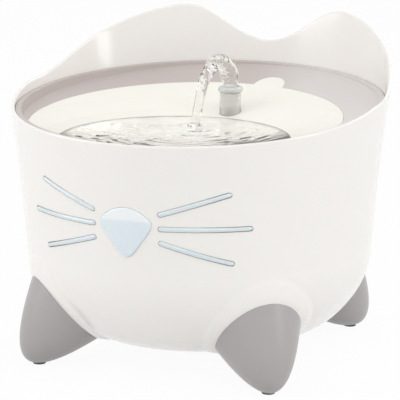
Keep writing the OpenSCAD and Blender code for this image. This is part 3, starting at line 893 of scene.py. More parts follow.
@dataclass
class Housing:
    """The moulded reservoir shell and its four legs. Lengths in metres."""

    hip_r: float = 0.110
    hip_z: float = 0.072
    belly_r: float = 0.059
    rim_r: float = 0.1185
    rim_z: float = 0.1595
    rim_slope: float = 0.067
    ear_r: float = 0.1248
    ear_z: float = 0.205
    ear_dip_z: float = 0.1815
    ear_x: float = 0.058
    wall: float = 0.0024
    socket: float = 0.012
    ledge: float = 0.003
    seat_r: float = 0.11389
    ledge_r: float = 0.10889
    leg_tip_r: float = 0.1165
    leg_tip_z: float = 0.003
    leg_lean: float = 41.0
    leg_blunt: float = 0.009
    leg_cone: float = 0.037
    hip_rise: float = 0.0020
    hip_reach: float = 0.0055
    hip_edge: float = 0.0008
    hip_top: float = 0.115
    hip_inner_r: float = 0.055
    lip: float = 0.0018
    screw_at: float = 0.08758
    screw_r: float = 0.0015
    well_r: float = 0.00305
    pad_at: float = 0.1084
    pad_r: float = 0.0040
    outlet_z: float = 0.136
    outlet_r: float = 0.0044
    steps: int = 512
    side: Curve2D = field(init=False)
    front: Curve2D = field(init=False)

    def __post_init__(self) -> None:
        """Works out the rim's two outlines."""
        lip = self.rim_z - self.rim_slope * self.rim_r + 0.0014
        self.side = Curve2D(
            [
                ((-self.rim_r - 0.008, lip - 0.0004), (0.026, 0.001)),
                ((-0.044, self.rim_z - 0.0002), (0.016, 0.002)),
                ((0.0, self.rim_z + 0.0075), (0.010, 0.003)),
                ((0.028, self.rim_z + 0.024), (0.008, 0.008)),
                ((0.060, self.ear_z + 0.006), (0.008, 0.008)),
            ]
        )
        self.front = Curve2D(
            [
                ((0.0, self.ear_dip_z), (0.013, 0.0)),
                ((self.ear_x - 0.021, self.ear_z - 0.007), (0.008, 0.005)),
                ((self.ear_x, self.ear_z), (0.007, 0.0)),
                ((self.ear_x + 0.026, self.ear_z - 0.0065), (0.007, -0.003)),
                ((self.rim_r - 0.012, self.ear_z - 0.0205), (0.0045, -0.0055)),
                ((self.rim_r + 0.0005, self.rim_z + 0.0065), (0.004, -0.006)),
                ((self.ear_r + 0.006, self.rim_z - 0.010), (0.002, -0.006)),
            ]
        )

    def wall_radius(self, z: float) -> float:
        """Outside radius of the shell at a height, by the curve through hip, rim and ear tips.

        Args:
            z: height in metres.

        Returns:
            The radius; below the hip, that of the rounded belly.
        """
        if z < self.hip_z:
            drop = min(self.belly_r, self.hip_z - z)
            return self.hip_r - self.belly_r + math.sqrt(self.belly_r**2 - drop**2)
        h, m, e = self.hip_z, self.rim_z, self.ear_z
        return (
            self.hip_r * (z - m) * (z - e) / ((h - m) * (h - e))
            + self.rim_r * (z - h) * (z - e) / ((m - h) * (m - e))
            + self.ear_r * (z - h) * (z - m) / ((e - h) * (e - m))
        )

    def plane(self, y: float) -> float:
        """Height of the tilted rim plane at a distance behind the axis."""
        return self.rim_z + self.rim_slope * y

    def rim_height(self, angle: float) -> float:
        """Height of the rim's top edge in a direction from the axis.

        Args:
            angle: direction in radians, from +X.

        Returns:
            The height in metres.
        """
        radius, height = self.rim_r, self.rim_z
        for _ in range(6):
            x, y = radius * math.cos(angle), radius * math.sin(angle)
            a, b = self.side.height(y), self.front.height(abs(x))
            soft = 0.0030
            h = max(soft - abs(a - b), 0.0) / soft
            height = min(a, b) - h * h * soft / 4
            radius = self.wall_radius(height)
        return height

    def leg_distance(self, p: Vector) -> float:
        """How far a point lies outside the nearest leg's surface.

        Args:
            p: the point.

        Returns:
            The distance in metres, negative inside the leg.
        """
        lean = math.radians(self.leg_lean)
        best = 1.0
        for quarter in range(4):
            turn = math.radians(-45 + 90 * quarter)
            out = Vector((math.cos(turn), math.sin(turn), 0.0))
            tip = out * self.leg_tip_r + Vector((0, 0, self.leg_tip_z))
            axis = -out * math.sin(lean) + Vector((0, 0, math.cos(lean)))
            along = (p - tip).dot(axis)
            if along > 0:
                away = (p - tip - axis * along).length
                best = min(best, away - math.sqrt(2 * self.leg_blunt * along + self.leg_cone * along * along))
        return best

    def rings(self) -> list[Ring]:
        """The shell's outline, from its underside's middle over the rim to its floor's middle."""
        rows = [Ring(Zone.BELLY, -self.belly_r, 0.0, share) for share in (0.0, 0.02, 0.04)]
        centre = self.hip_r - self.belly_r
        for i in range(0, 91):
            a = math.radians(i - 90)
            height, radius = self.belly_r * math.sin(a), centre + self.belly_r * math.cos(a)
            rows.append(Ring(Zone.BELLY, height, 0.0, radius))
        for i in range(1, 37):
            rows.append(Ring(Zone.WALL, (i / 36) ** 0.9, 0.0))
        for i in range(0, 9):
            a = math.pi * i / 8
            edge = self.wall / 2
            rows.append(Ring(Zone.EDGE, edge * (1 - math.sin(a)), edge * (1 - math.cos(a))))
        for share in (0.06, 0.14, 0.25, 0.38, 0.52, 0.66, 0.8, 0.92, 1.0):
            rows.append(Ring(Zone.INNER, share, self.wall))
        for drop, radius in (
            (-self.lip, self.seat_r + 0.0004),
            (-0.0022, self.seat_r),
            (-0.005, self.seat_r),
            (-0.0085, self.seat_r),
            (-self.socket + 0.0003, self.seat_r),
            (-self.socket, self.seat_r - 0.0003),
            (-self.socket, self.ledge_r + 0.0004),
            (-self.socket - 0.0004, self.ledge_r),
            (-self.socket - self.ledge + 0.0004, self.ledge_r),
            (-self.socket - self.ledge, self.ledge_r + 0.0004),
        ):
            rows.append(Ring(Zone.SOCKET, drop, 0.0, radius))
        for i in range(0, 9):
            rows.append(Ring(Zone.LOWER, i / 8, self.wall))
        inner = self.belly_r - self.wall
        for i in range(1, 19):
            a = math.radians(-5 * i)
            rows.append(Ring(Zone.BELLY, inner * math.sin(a), 0.0, centre + inner * math.cos(a)))
        rows += [Ring(Zone.BELLY, -inner, 0.0, radius) for radius in (0.03, 0.0)]
        return rows

    def seat(self, ring: Ring, angle: float, top: float) -> Vector:
        """The place of a ring's vertex.

        Args:
            ring: the ring.
            angle: direction from the axis.
            top: height of the rim there.

        Returns:
            The point in metres.
        """
        edge = self.wall / 2
        if ring.zone is Zone.BELLY:
            radius, z = ring.radius, self.hip_z + ring.share
        elif ring.zone is Zone.WALL:
            z = self.hip_z + ring.share * (top - edge - self.hip_z) * 0.9985
            radius = self.wall_radius(z)
        elif ring.zone is Zone.EDGE:
            z = top - ring.share
            radius = self.wall_radius(z) - ring.inset
        elif ring.zone is Zone.SOCKET:
            radius = ring.radius
            z = self.plane(radius * math.sin(angle)) + ring.share
        else:
            y = (self.rim_r - self.wall) * math.sin(angle)
            if ring.zone is Zone.INNER:
                high, low = top - edge, self.plane(y) - self.lip
            else:
                high, low = self.plane(y) - self.socket - self.ledge, self.hip_z
            z = high + (low - high) * ring.share
            radius = self.wall_radius(z) - ring.inset
        return Vector((radius * math.cos(angle), radius * math.sin(angle), z))

    def bulge(self, p: Vector) -> Vector:
        """Moves a point of the outer face out over the hips.

        Args:
            p: a point on the plain outer face.

        Returns:
            The point on the finished face.
        """
        if p.z > self.hip_top or math.hypot(p.x, p.y) < self.hip_inner_r:
            return p
        away = self.leg_distance(p)
        step = 1 - smoothstep(self.hip_reach - self.hip_edge, self.hip_reach + self.hip_edge, away)
        swell = 1 - smoothstep(0.0, self.hip_reach, away)
        share = 0.45 * step + 0.55 * swell
        if share <= 0:
            return p
        flat = Vector((p.x, p.y, 0.0))
        if p.z >= self.hip_z:
            normal = flat.normalized()
        else:
            middle = flat.normalized() * (self.hip_r - self.belly_r)
            normal = (p - middle - Vector((0, 0, self.hip_z))).normalized()
        return p + normal * self.hip_rise * share

    def shell(self, face: Face) -> bpy.types.Object:
        """Builds the moulded shell with its windows, screw holes and cable outlet.

        Args:
            face: the face, whose outlines are cut through the front.

        Returns:
            The shell.
        """
        rows = self.rings()
        poles = (0, len(rows) - 1)
        bm = spun([(0.0 if i in poles else 0.1, 0.001 * i) for i in range(len(rows))], self.steps)
        row = bm.verts.layers.int["row"]
        over = next(i for i, ring in enumerate(rows) if ring.zone is Zone.EDGE)
        tops: dict[int, float] = {}
        for vert in bm.verts:
            ring = rows[vert[row]]
            angle = math.atan2(vert.co.y, vert.co.x)
            key = round(angle * 1e4)
            if key not in tops:
                tops[key] = self.rim_height(angle)
            place = self.seat(ring, angle, tops[key])
            vert.co = self.bulge(place) if vert[row] < over else place
        made = to_piece(bm, "moulded_shell", outward=True)
        outlet = self.rod((0, 0.105, self.outlet_z), (0, 0.13, self.outlet_z), self.outlet_r)
        tools = [face.cutter(), outlet]
        for quarter in range(4):
            turn = math.radians(-45 + 90 * quarter)
            x, y = self.screw_at * math.cos(turn), self.screw_at * math.sin(turn)
            tools.append(self.rod((x, y, 0.005), (x, y, 0.034), self.screw_r))
        cut(made, tools)
        return made

    def rod(
        self, start: Sequence[float], end: Sequence[float], radius: float, steps: int = 40
    ) -> bpy.types.Object:
        """A closed rod between two points, for cutting.

        Args:
            start, end: the middles of its ends.
            radius: its radius.
            steps: sides of its section.

        Returns:
            The rod as an object.
        """
        a, b = Vector(start), Vector(end)
        bm = bmesh.new()
        bmesh.ops.create_cone(
            bm, cap_ends=True, segments=steps, radius1=radius, radius2=radius, depth=(b - a).length
        )
        turn = (b - a).to_track_quat("Z", "Y").to_matrix().to_4x4()
        bmesh.ops.transform(bm, matrix=Matrix.Translation((a + b) / 2) @ turn, verts=bm.verts)
        return to_piece(bm, "rod")

    def outline_solid(self, outset: float, top: float) -> bpy.types.Object:
        """The space inside the shell's outer face, grown by outset, up to a height."""
        grown = self.belly_r + outset
        centre = self.hip_r - self.belly_r
        line = [(0.0, self.hip_z - grown)]
        line += [
            (centre + grown * math.cos(math.radians(a)), self.hip_z + grown * math.sin(math.radians(a)))
            for a in [-90 + 2 * i for i in range(46)]
        ]
        for i in range(1, 13):
            z = self.hip_z + (top - self.hip_z) * i / 12
            line.append((self.wall_radius(z) + outset, z))
        line.append((0.0, top))
        return to_piece(spun(line, 240), "outline_solid", outward=True)

    def leg(self, name: str, direction: float) -> bpy.types.Object:
        """Builds one leg, trimmed to the shell, with its screw well and pad recess.

        Args:
            name: the object's name.
            direction: where it points from the axis, in degrees from +X.

        Returns:
            The leg.
        """
        length, count = 0.088, 44
        line = []
        for i in range(count + 1):
            s = length * (i / count) ** 2
            line.append((math.sqrt(2 * self.leg_blunt * s + self.leg_cone * s * s), s))
        line.append((0.0, length))
        bm = spun(line, 144)
        lean = Matrix.Rotation(-math.radians(self.leg_lean), 4, "Y")
        spot = Matrix.Translation((self.leg_tip_r, 0.0, self.leg_tip_z))
        around = Matrix.Rotation(math.radians(direction), 4, "Z")
        bmesh.ops.transform(bm, matrix=around @ spot @ lean, verts=bm.verts)
        made = to_piece(bm, name, outward=True)
        turn = math.radians(direction)
        out = Vector((math.cos(turn), math.sin(turn), 0.0))
        screw, pad, below = out * self.screw_at, out * self.pad_at, Vector((0, 0, -0.001))
        cut(
            made,
            [
                self.outline_solid(self.hip_rise + 0.00015, 0.112),
                self.rod(screw + below, screw + Vector((0, 0, 0.015)), self.well_r),
                self.rod(pad + below, pad + Vector((0, 0, 0.0024)), self.pad_r),
            ],
        )
        return made

    def build(self, nodes: dict[str, bpy.types.Object], face: Face) -> list[bpy.types.Object]:
        """Builds shell and legs and dresses the housing's other parts.

        Args:
            nodes: the CAD nodes by name.
            face: the face in the front wall.

        Returns:
            The new pieces.
        """
        shell = self.shell(face)
        white = Moulded(
            tone(246, 243, 239), roughness=0.16, coat=0.35, clouds=0.004, peel=0.010, rub=0.05, bleed=0.04
        )
        paint(shell, white.dress("shell_white"))
        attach(shell, "housing")
        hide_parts("reservoir_shell")
        made = [shell]
        grey = Moulded(
            tone(172, 168, 168), roughness=0.34, clouds=0.02, peel=0.02, grain=420.0, rub=0.1
        ).dress("leg_grey")
        for name, direction in (
            ("leg_front_right", -45.0),
            ("leg_front_left", -135.0),
            ("leg_rear_right", 45.0),
            ("leg_rear_left", 135.0),
        ):
            leg = self.leg("moulded_" + name, direction)
            paint(leg, grey)
            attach(leg, "housing")
            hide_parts(name)
            made.append(leg)
        paint(nodes["leg_screws"], Steel(tone(196, 197, 200)).dress("screw_steel"))
        paint(nodes["foot_pads"], Rubber(tone(112, 110, 111)).dress("pad_rubber"))
        paint(nodes["cable_grommet"], Rubber(tone(120, 120, 124), 0.6).dress("grommet_rubber"))
        return made


def paint(node: bpy.types.Object, material: bpy.types.Material) -> None:
    """Gives an object one material."""
    node.data.materials.clear()
    node.data.materials.append(material)


# ---------------------------------------------------------------- face


@dataclass
class Face:
    """Nose lens, whisker windows and what lies behind them. Lengths in metres."""

    housing: Housing
    middle_z: float = 0.103
    nose_w: float = 0.0325
    nose_h: float = 0.031
    nose_drop: float = 0.003
    strip: float = 0.003
    gap: float = 0.00015
    ends: tuple[tuple[tuple[float, float], tuple[float, float]], ...] = (
        ((0.0215, 0.0087), (0.0595, 0.021)),
        ((0.0215, 0.0), (0.069, 0.0)),
        ((0.0215, -0.0087), (0.0595, -0.021)),
    )

    def nose_outline(self, grow: float = 0.0, steps: int = 16) -> list[tuple[float, float]]:
        """The nose's outline in the front view.

        Args:
            grow: how far it is grown.
            steps: steps in each of the six spans.

        Returns:
            Points (x, z) around it.
        """
        w, h = self.nose_w + 2 * grow, self.nose_h + 2 * grow
        half = Curve2D(
            [
                ((0.0, 0.48 * h), (0.22 * w, 0.0)),
                ((0.5 * w, 0.17 * h), (0.0, -0.12 * h)),
                ((0.27 * w, -0.24 * h), (-0.08 * w, -0.12 * h)),
                ((0.0, -0.5 * h), (-0.10 * w, 0.0)),
            ],
            steps,
        ).points
        shift = self.middle_z - self.nose_drop
        right = [(x, z + shift) for x, z in half]
        left = [(-x, z) for x, z in reversed(right[1:-1])]
        return right + left

    def capsule(
        self, start: Sequence[float], end: Sequence[float], width: float
    ) -> list[tuple[float, float]]:
        """A strip's outline with round ends, in the front view.

        Args:
            start, end: the middles of its ends, from the whiskers' middle.
            width: its width.

        Returns:
            Points (x, z) around it.
        """
        turn = math.atan2(end[1] - start[1], end[0] - start[0])
        line = []
        for centre, first in ((end, turn - math.pi / 2), (start, turn + math.pi / 2)):
            for i in range(13):
                a = first + math.pi * i / 12
                line.append(
                    (centre[0] + width / 2 * math.cos(a), centre[1] + width / 2 * math.sin(a) + self.middle_z)
                )
        return line

    def on_wall(self, x: float, z: float, rise: float) -> Vector:
        """A point over the front wall.

        Args:
            x, z: its place in the front view.
            rise: how far it stands out of the wall.

        Returns:
            The point in metres.
        """
        radius = self.housing.wall_radius(z) + rise
        return Vector((x, -math.sqrt(max(0.0, radius * radius - x * x)), z))

    def prism(self, outline: Sequence[tuple[float, float]]) -> bmesh.types.BMesh:
        """A front-view outline extruded through the front wall."""
        bm = bmesh.new()
        verts = [bm.verts.new((x, -0.07, z)) for x, z in outline]
        face = bm.faces.new(verts)
        extruded = bmesh.ops.extrude_face_region(bm, geom=[face])
        moved = [v for v in extruded["geom"] if isinstance(v, bmesh.types.BMVert)]
        bmesh.ops.translate(bm, verts=moved, vec=(0, -0.07, 0))
        bmesh.ops.recalc_face_normals(bm, faces=bm.faces)
        return bm

    def cutter(self) -> bpy.types.Object:
        """One tool that cuts the nose and all six whisker windows."""
        whole = bmesh.new()
        outlines = [self.nose_outline(self.gap)]
        for start, end in self.ends:
            line = self.capsule(start, end, self.strip + 2 * self.gap)
            outlines.append(line)
            outlines.append([(-x, z) for x, z in reversed(line)])
        for line in outlines:
            join(whole, self.prism(line))
        return to_piece(whole, "face_cutter")

    def nose(self) -> bpy.types.Object:
        """The nose lens: a softly crowned, round-edged pane that follows the wall."""
        line = self.nose_outline(0.0)
        centre = (0.0, self.middle_z - self.nose_drop + 0.001)
        bm = bmesh.new()
        loop = [bm.verts.new(self.on_wall(x, z, -0.0025)) for x, z in line]
        back = bm.faces.new(loop)
        edges = list(back.edges)
        scales = (1.0, 0.998, 0.985, 0.962, 0.93, 0.87, 0.78, 0.66, 0.52, 0.38, 0.24, 0.1)
        rises = (0.0002, 0.0005, 0.0008, 0.00098, 0.00108, 0.00118)
        rises += (0.00128, 0.00138, 0.00146, 0.00152, 0.00156, 0.0016)
        for previous, scale, rise in zip((1.0, *scales), scales, rises):
            grown = bmesh.ops.extrude_edge_only(bm, edges=edges)["geom"]
            ring = [v for v in grown if isinstance(v, bmesh.types.BMVert)]
            edges = [e for e in grown if isinstance(e, bmesh.types.BMEdge)]
            for vert in ring:
                x = centre[0] + (vert.co.x - centre[0]) * scale / previous
                z = centre[1] + (vert.co.z - centre[1]) * scale / previous
                vert.co = self.on_wall(x, z, rise)
        bmesh.ops.pointmerge(
            bm,
            verts=list({v for e in edges for v in e.verts}),
            merge_co=self.on_wall(centre[0], centre[1], rises[-1]),
        )
        return to_piece(bm, "nose_pane", 50, outward=True)

    def whisker(self, start: Sequence[float], end: Sequence[float], side: int) -> bmesh.types.BMesh:
        """One whisker strip: rounded across, tapering a little to its tip.

        Args:
            start, end: its ends from the whiskers' middle.
            side: 1 for the right, -1 for the left.

        Returns:
            The strip's closed mesh.
        """
        along = Vector((end[0] - start[0], end[1] - start[1]))
        length = along.length
        ahead = along / length
        across = Vector((-ahead.y, ahead.x))
        bm = bmesh.new()
        bmesh.ops.create_cone(bm, cap_ends=True, segments=16, radius1=1.0, radius2=1.0, depth=2.0)
        sides = [e for e in bm.edges if abs(e.verts[0].co.z - e.verts[1].co.z) > 1]
        bmesh.ops.subdivide_edges(bm, edges=sides, cuts=46, use_grid_fill=True)
        half = self.strip / 2
        for vert in bm.verts:
            t = (vert.co.z + 1) / 2
            place = t * (length + 2 * half) - half
            near = min(place + half, length + half - place)
            width = half * math.sqrt(max(0.02, 1 - (1 - min(1.0, near / half)) ** 2))
            width *= 1 - 0.16 * smoothstep(0.35, 1.0, t)
            offset = across * (vert.co.x * width)
            spot = Vector((start[0], start[1])) + ahead * place + offset
            rise = -0.0004 + vert.co.y * 0.0015 * math.sqrt(max(0.05, min(1.0, near / half)))
            vert.co = self.on_wall(side * spot.x, spot.y + self.middle_z, rise)
        bmesh.ops.recalc_face_normals(bm, faces=bm.faces)
        return bm

    def whiskers(self, name: str, side: int) -> bpy.types.Object:
        """The three whisker strips of one side with the plate that joins them behind the wall.

        Args:
            name: the object's name.
            side: 1 for the right, -1 for the left.

        Returns:
            The piece.
        """
        whole = bmesh.new()
        for start, end in self.ends:
            join(whole, self.whisker(start, end, side))
        plate = bmesh.new()
        bmesh.ops.create_grid(plate, x_segments=28, y_segments=14, size=1.0)
        low, high = (0.0186, -0.0239), (0.0719, 0.0239)
        for vert in plate.verts:
            u, v = vert.co.x, vert.co.y
            pull = 1 - 0.06 * (abs(u * v)) ** 6
            x = low[0] + (high[0] - low[0]) * (u * pull + 1) / 2
            z = low[1] + (high[1] - low[1]) * (v * pull + 1) / 2 + self.middle_z
            vert.co = self.on_wall(side * x, z, -0.0033)
        bmesh.ops.recalc_face_normals(plate, faces=plate.faces)
        bmesh.ops.solidify(plate, geom=plate.faces[:], thickness=0.0016)
        bmesh.ops.recalc_face_normals(plate, faces=plate.faces)
        join(whole, plate)
        return to_piece(whole, name, 50)

    def build(self, nodes: dict[str, bpy.types.Object]) -> list[bpy.types.Object]:
        """Builds the windows and dresses what lies behind them.

        Args:
            nodes: the CAD nodes by name.

        Returns:
            The new pieces.
        """
        # Both window finishes carry a painted highlight: a paler colour on their upper part.
        blue = TintedLens(tone(226, 237, 243), tone(245, 250, 252), highlight_edge_z=0.1068, highlight_spread=0.0014)
        pale = TintedLens(tone(218, 229, 233), tone(226, 234, 238), highlight_edge_z=0.103, highlight_spread=0.02)
        nose = self.nose()
        paint(nose, blue.dress("window_blue_nose"))
        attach(nose, "housing")
        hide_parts("nose_lens")
        made = [nose]
        strips = pale.dress("window_blue_whisker")
        for name, side in (("whisker_window_left", -1), ("whisker_window_right", 1)):
            piece = self.whiskers("pane_" + name, side)
            paint(piece, strips)
            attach(piece, "housing")
            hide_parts(name)
            made.append(piece)
        gasket = Rubber(tone(200, 200, 200), 0.55).dress("gasket_rubber")
        for name in ("nose_gasket", "whisker_gaskets"):
            paint(nodes[name], gasket)
        paint(nodes["led_pod"], Moulded(tone(232, 231, 226), 0.4, grain=500.0).dress("pod_white"))
        paint(nodes["led_board"], CircuitBoard(tone(30, 104, 62)).dress("board_green"))
        paint(nodes["led_lamps"], Clear(tone(250, 248, 228), 0.1, 0.6).dress("lamp_resin"))
        return made


# ---------------------------------------------------------------- tray


@dataclass
class Tray:
    """Deck ring, drinking dish and spout. Lengths in metres."""

    spout_y: float = 0.0525
    collar_z: float = 0.1562
    collar_r: float = 0.0083
    boss_z: float = 0.13481

    def turned(
        self, outline: Sequence[tuple[float, float]], steps: int, name: str, sharp: float = SHARP
    ) -> bpy.types.Object:
        """Spins a closed outline about the spout's axis.

        Args:
            outline: (radius, height) points in order, the last one on the first.
            steps: sectors of the spin.
            name: the object's name.
            sharp: edges that turn more than this many degrees are shaded sharp.

        Returns:
            The object.
        """
        bm = spun(outline, steps)
        bmesh.ops.remove_doubles(bm, verts=bm.verts, dist=SAME_POINT)
        bmesh.ops.translate(bm, verts=bm.verts, vec=(0, self.spout_y, 0))
        return to_piece(bm, name, sharp, outward=True)

    def post(self) -> bpy.types.Object:
        """The clear spout post with its spigot and flange."""
        z = self.boss_z
        line = [
            (0.0042, z - 0.016),
            (0.0054, z - 0.016),
            (0.0060, z - 0.015),
            (0.0060, z - 0.0024),
            (0.0104, z - 0.0024),
            (0.0104, z),
            (0.0072, z),
            (0.0072, z + 0.010),
            (0.0071, z + 0.012),
            (0.0067, self.collar_z - 0.0002),
            (0.0064, self.collar_z),
            (0.0056, self.collar_z),
            (0.0056, self.collar_z + 0.0040),
            (0.0052, self.collar_z + 0.0046),
            (0.0038, self.collar_z + 0.0046),
            (0.0036, self.collar_z + 0.0044),
            (0.0036, self.collar_z + 0.0026),
            (0.0042, self.collar_z + 0.0006),
            (0.0042, z - 0.016),
        ]
        return self.turned(line, 72, "clear_post")

    def collar(self) -> bpy.types.Object:
        """The rounded collar ring at the top of the post."""
        edge, z = 0.002, self.collar_z
        line = []
        for i in range(17):
            a = -math.pi / 2 + math.pi * i / 16
            line.append((self.collar_r - edge + edge * math.cos(a), z + edge + edge * math.sin(a)))
        line += [(0.0063, z + 0.004), (0.0059, z + 0.0038), (0.0057, z + 0.0034)]
        line += [(0.0057, z + 0.0004), (0.0061, z)]
        line.append(line[0])
        return self.turned(line, 96, "collar_ring", 40)

    def build(self, nodes: dict[str, bpy.types.Object]) -> list[bpy.types.Object]:
        """Builds the spout and dresses the tray.

        Args:
            nodes: the CAD nodes by name.

        Returns:
            The new pieces.
        """
        post, collar = self.post(), self.collar()
        paint(post, Clear(tone(251, 250, 247), 0.05, 0.62).dress("spout_clear"))
        pale = Moulded(tone(214, 217, 217), 0.14, coat=0.6, clouds=0.02, grain=900.0, bleed=0.15)
        paint(collar, pale.dress("collar_blue"))
        for piece, node in ((post, "spout_post"), (collar, "spout_collar")):
            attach(piece, "tray")
            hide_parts(node)
        # The deck ring's colour carries painted light: it turns lighter towards +X, standing in for light
        # falling on its right side.
        deck = Moulded(
            tone(201, 191, 188),
            0.42,
            clouds=0.02,
            peel=0.03,
            grain=520.0,
            painted_light=tone(220, 215, 212),
            painted_light_x=(-0.015, 0.055),
        )
        paint(nodes["deck_ring"], deck.dress("deck_taupe"))
        cream = Moulded(tone(249, 246, 237), 0.2, coat=0.3, clouds=0.004, bleed=0.05)
        paint(nodes["drinking_dish"], cream.dress("dish_cream"))
        seal = Rubber(tone(110, 110, 112)).dress("seal_rubber")
        paint(nodes["deck_seal"], seal)
        paint(nodes["spout_seal"], seal)
        return [post, collar]


@dataclass
class Flow:
    """The water that the dish holds and the stream that falls into it. Lengths in metres."""

    level: float = 0.1408
    gap: float = 0.0002
    dish_r: float = 0.09899
    dish_depth: float = 0.018
    dish_shift: float = 0.0116
    dish_side: float = 0.005
    dish_drop: float = 0.009
    rim_z: float = 0.1595
    rim_slope: float = 0.067
    landing: tuple[float, float] = (-0.0075, 0.0105)
    left_swirl: tuple[float, float] = (-0.052, -0.038)
    path: tuple[tuple[float, float, float, float], ...] = (
        (0.0, 52.5, 157.8, 3.4),
        (0.0, 52.5, 160.6, 4.4),
        (0.1, 52.3, 163.2, 5.6),
        (0.0, 51.3, 167.0, 6.1),
        (-0.4, 48.8, 172.0, 6.0),
        (-1.3, 44.2, 176.6, 5.4),
        (-2.7, 37.8, 179.3, 4.7),
        (-4.0, 31.2, 177.9, 4.2),
        (-5.2, 25.2, 172.6, 3.9),
        (-6.1, 20.2, 165.2, 3.6),
        (-6.8, 16.2, 157.0, 3.1),
        (-7.3, 13.2, 149.6, 2.8),
        (-7.5, 11.2, 143.6, 2.7),
        (-7.5, 10.6, 140.6, 3.6),
        (-7.5, 10.5, 139.4, 4.6),
    )

    def sphere(self) -> tuple[Vector, float]:
        """Centre and radius of the ball that the dish's inner face is cut by."""
        radius = (self.dish_r**2 + self.dish_depth**2) / (2 * self.dish_depth)
        lift = radius - self.dish_depth
        tilt = math.atan(self.rim_slope)
        centre = Vector(
            (
                -self.dish_side,
                -self.dish_shift - lift * math.sin(tilt),
                self.rim_z - self.dish_drop - self.rim_slope * self.dish_shift + lift * math.cos(tilt),
            )
        )
        return centre, radius

    def ripple(self, x: float, y: float) -> float:
        """Height of the waves on the pool.

        Args:
            x, y: the place.

        Returns:
            The height over the still level, in metres.
        """
        d = math.hypot(x - self.landing[0], y - self.landing[1])
        waves = 0.00042 * math.exp(-d / 0.030) * math.cos(d / 0.0093 * math.tau)
        waves += 0.00020 * math.exp(-d / 0.055) * math.cos(d / 0.0062 * math.tau + 1.0)
        swell = noise.noise(Vector((x * 42, y * 42, 0.3))) * 0.00045
        chop = noise.noise(Vector((x * 120 + 5, y * 90, 2.3))) * 0.00016
        from_left = math.hypot(x - self.left_swirl[0], y - self.left_swirl[1])
        swell += noise.noise(Vector((x * 90, y * 190, 6.1))) * 0.0010 * math.exp(-((from_left / 0.018) ** 2))
        crown = 0.0016 * math.exp(-(((d - 0.0048) / 0.0022) ** 2)) - 0.0006 * math.exp(-((d / 0.003) ** 2))
        return waves + swell + chop + crown

    def edge(self) -> float:
        """Radius of the pool at its still level."""
        centre, radius = self.sphere()
        return math.sqrt((radius - self.gap) ** 2 - (centre.z - self.level) ** 2)

    def pool(self) -> bpy.types.Object:
        """The pool: rippled on top, lying in the dish below."""
        centre, radius = self.sphere()
        edge, count, under = self.edge(), 84, 30
        line = [(edge * i / count, self.level) for i in range(count + 1)]
        for i in range(under - 1, -1, -1):
            reach = edge * i / under
            line.append((reach, centre.z - math.sqrt((radius - self.gap) ** 2 - reach**2)))
        bm = spun(line, 220)
        row = bm.verts.layers.int["row"]
        bmesh.ops.translate(bm, verts=bm.verts, vec=(centre.x, centre.y, 0))
        for vert in bm.verts:
            if vert[row] < count:
                share = 1 - smoothstep(0.93, 1.0, vert[row] / count)
                vert.co.z += self.ripple(vert.co.x, vert.co.y) * share
        return to_piece(bm, "pool_water", 60, outward=True)

    def stream(self) -> bpy.types.Object:
        """The stream: a rope of water that rises out of the spout and falls into the pool."""
        curve = bpy.data.curves.new("stream_line", "CURVE")
        curve.dimensions = "3D"
        curve.bevel_depth = 1.0
        curve.bevel_resolution = 9
        curve.use_fill_caps = True
        curve.resolution_u = 10
        spline = curve.splines.new("NURBS")
        spline.points.add(len(self.path) - 1)
        for point, (x, y, z, r) in zip(spline.points, self.path):
            point.co = (x * MM, y * MM, z * MM, 1.0)
            point.radius = r * MM
        spline.order_u = 4
        spline.use_endpoint_u = True
        holder = bpy.data.objects.new("stream_line", curve)
        bpy.context.scene.collection.objects.link(holder)
        graph = bpy.context.evaluated_depsgraph_get()
        mesh = bpy.data.meshes.new_from_object(holder.evaluated_get(graph))
        bpy.data.objects.remove(holder)
        bm = bmesh.new()
        bm.from_mesh(mesh)
        bpy.data.meshes.remove(mesh)
        bmesh.ops.remove_doubles(bm, verts=bm.verts, dist=SAME_POINT)
        bmesh.ops.subdivide_edges(bm, edges=bm.edges, cuts=1, use_grid_fill=True, smooth=0.3)
        bmesh.ops.recalc_face_normals(bm, faces=bm.faces)
        bm.normal_update()
        for vert in bm.verts:
            p = vert.co
            if p.z > 0.1615 or p.y < 0.045:
                ropes = noise.noise(Vector((p.x * 330, p.y * 150, p.z * 90))) * 0.00075
                beads = noise.noise(Vector((p.x * 600, p.y * 600, p.z * 420 + 3))) * 0.00030
                vert.co = p + vert.normal * (ropes + beads)
        return to_piece(bm, "stream_water", 70, outward=True)

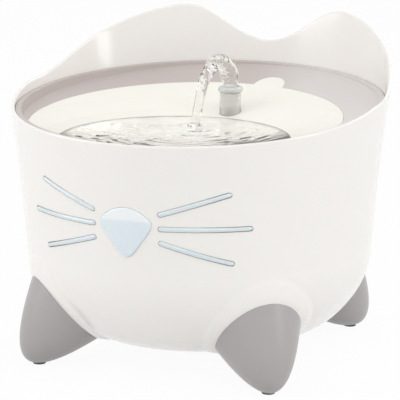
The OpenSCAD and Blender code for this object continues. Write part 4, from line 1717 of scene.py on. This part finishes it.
    def build(self) -> list[bpy.types.Object]:
        """Builds the water, which rides on the tray.

        Returns:
            The pieces.
        """
        pool, stream = self.pool(), self.stream()
        centre, _ = self.sphere()
        # The pool's finish darkens its edge in colour as painted shade.
        still = Water(0.004, 60.0, (0.953, 0.955, 0.955), (centre.x, centre.y), self.edge())
        paint(pool, still.dress("pool_water"))
        paint(stream, Water(0.02, 160.0, (0.955, 0.957, 0.945)).dress("stream_water"))
        for piece in (pool, stream):
            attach(piece, "tray")
        return [pool, stream]


# ---------------------------------------------------------------- inner parts


@dataclass
class InnerParts:
    """Pump and filter, whose shapes come from the CAD nodes."""

    def build(self, nodes: dict[str, bpy.types.Object]) -> None:
        """Dresses pump, riser and filter.

        Args:
            nodes: the CAD nodes by name.
        """
        finishes: dict[str, Any] = {
            "pump_body": Moulded(tone(66, 70, 76), 0.4, clouds=0.04, peel=0.04, grain=700.0),
            "pump_cover": Moulded(tone(86, 90, 96), 0.42, clouds=0.04, peel=0.04, grain=700.0),
            "rotor_magnet": Moulded(tone(46, 46, 50), 0.5, clouds=0.06, peel=0.03, grain=1500.0),
            "impeller": Moulded(tone(240, 239, 233), 0.35, clouds=0.01, grain=900.0),
            "impeller_shaft": Steel(tone(226, 226, 230), 0.12, (4000.0, 60.0, 60.0)),
            "shaft_bushes": Rubber(tone(44, 44, 46)),
            "flow_dial": Moulded(tone(150, 180, 200), 0.25, coat=0.3, clouds=0.02, grain=900.0),
            "suction_feet": Clear(tone(214, 220, 224), 0.2, 0.45, ior=1.42),
            "foam_cap": Foam(tone(72, 78, 86)),
            "riser_tube": Clear(tone(226, 232, 236), 0.08, 0.75),
            "filter_basket": Moulded(tone(236, 238, 238), 0.38, clouds=0.01, peel=0.02, grain=600.0),
            "filter_cartridge": Felt(tone(226, 228, 224)),
            "filter_grid": Moulded(tone(205, 216, 226), 0.25, coat=0.2, clouds=0.02, grain=900.0),
        }
        for name, finish in finishes.items():
            paint(nodes[name], finish.dress(name + "_finish"))


def main() -> None:
    """Builds the fountain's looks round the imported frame."""
    logging.basicConfig(level=logging.INFO, format="%(name)s %(message)s")
    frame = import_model()
    Studio().build()
    nodes = frame["nodes"]
    housing = Housing()
    face = Face(housing)
    made = housing.build(nodes, face) + face.build(nodes) + Tray().build(nodes) + Flow().build()
    InnerParts().build(nodes)
    for piece in made:
        LOG.info("%s, %d faces", piece.name, len(piece.data.polygons))
    LOG.info("%d new pieces", len(made))


if __name__ == "__main__":
    main()
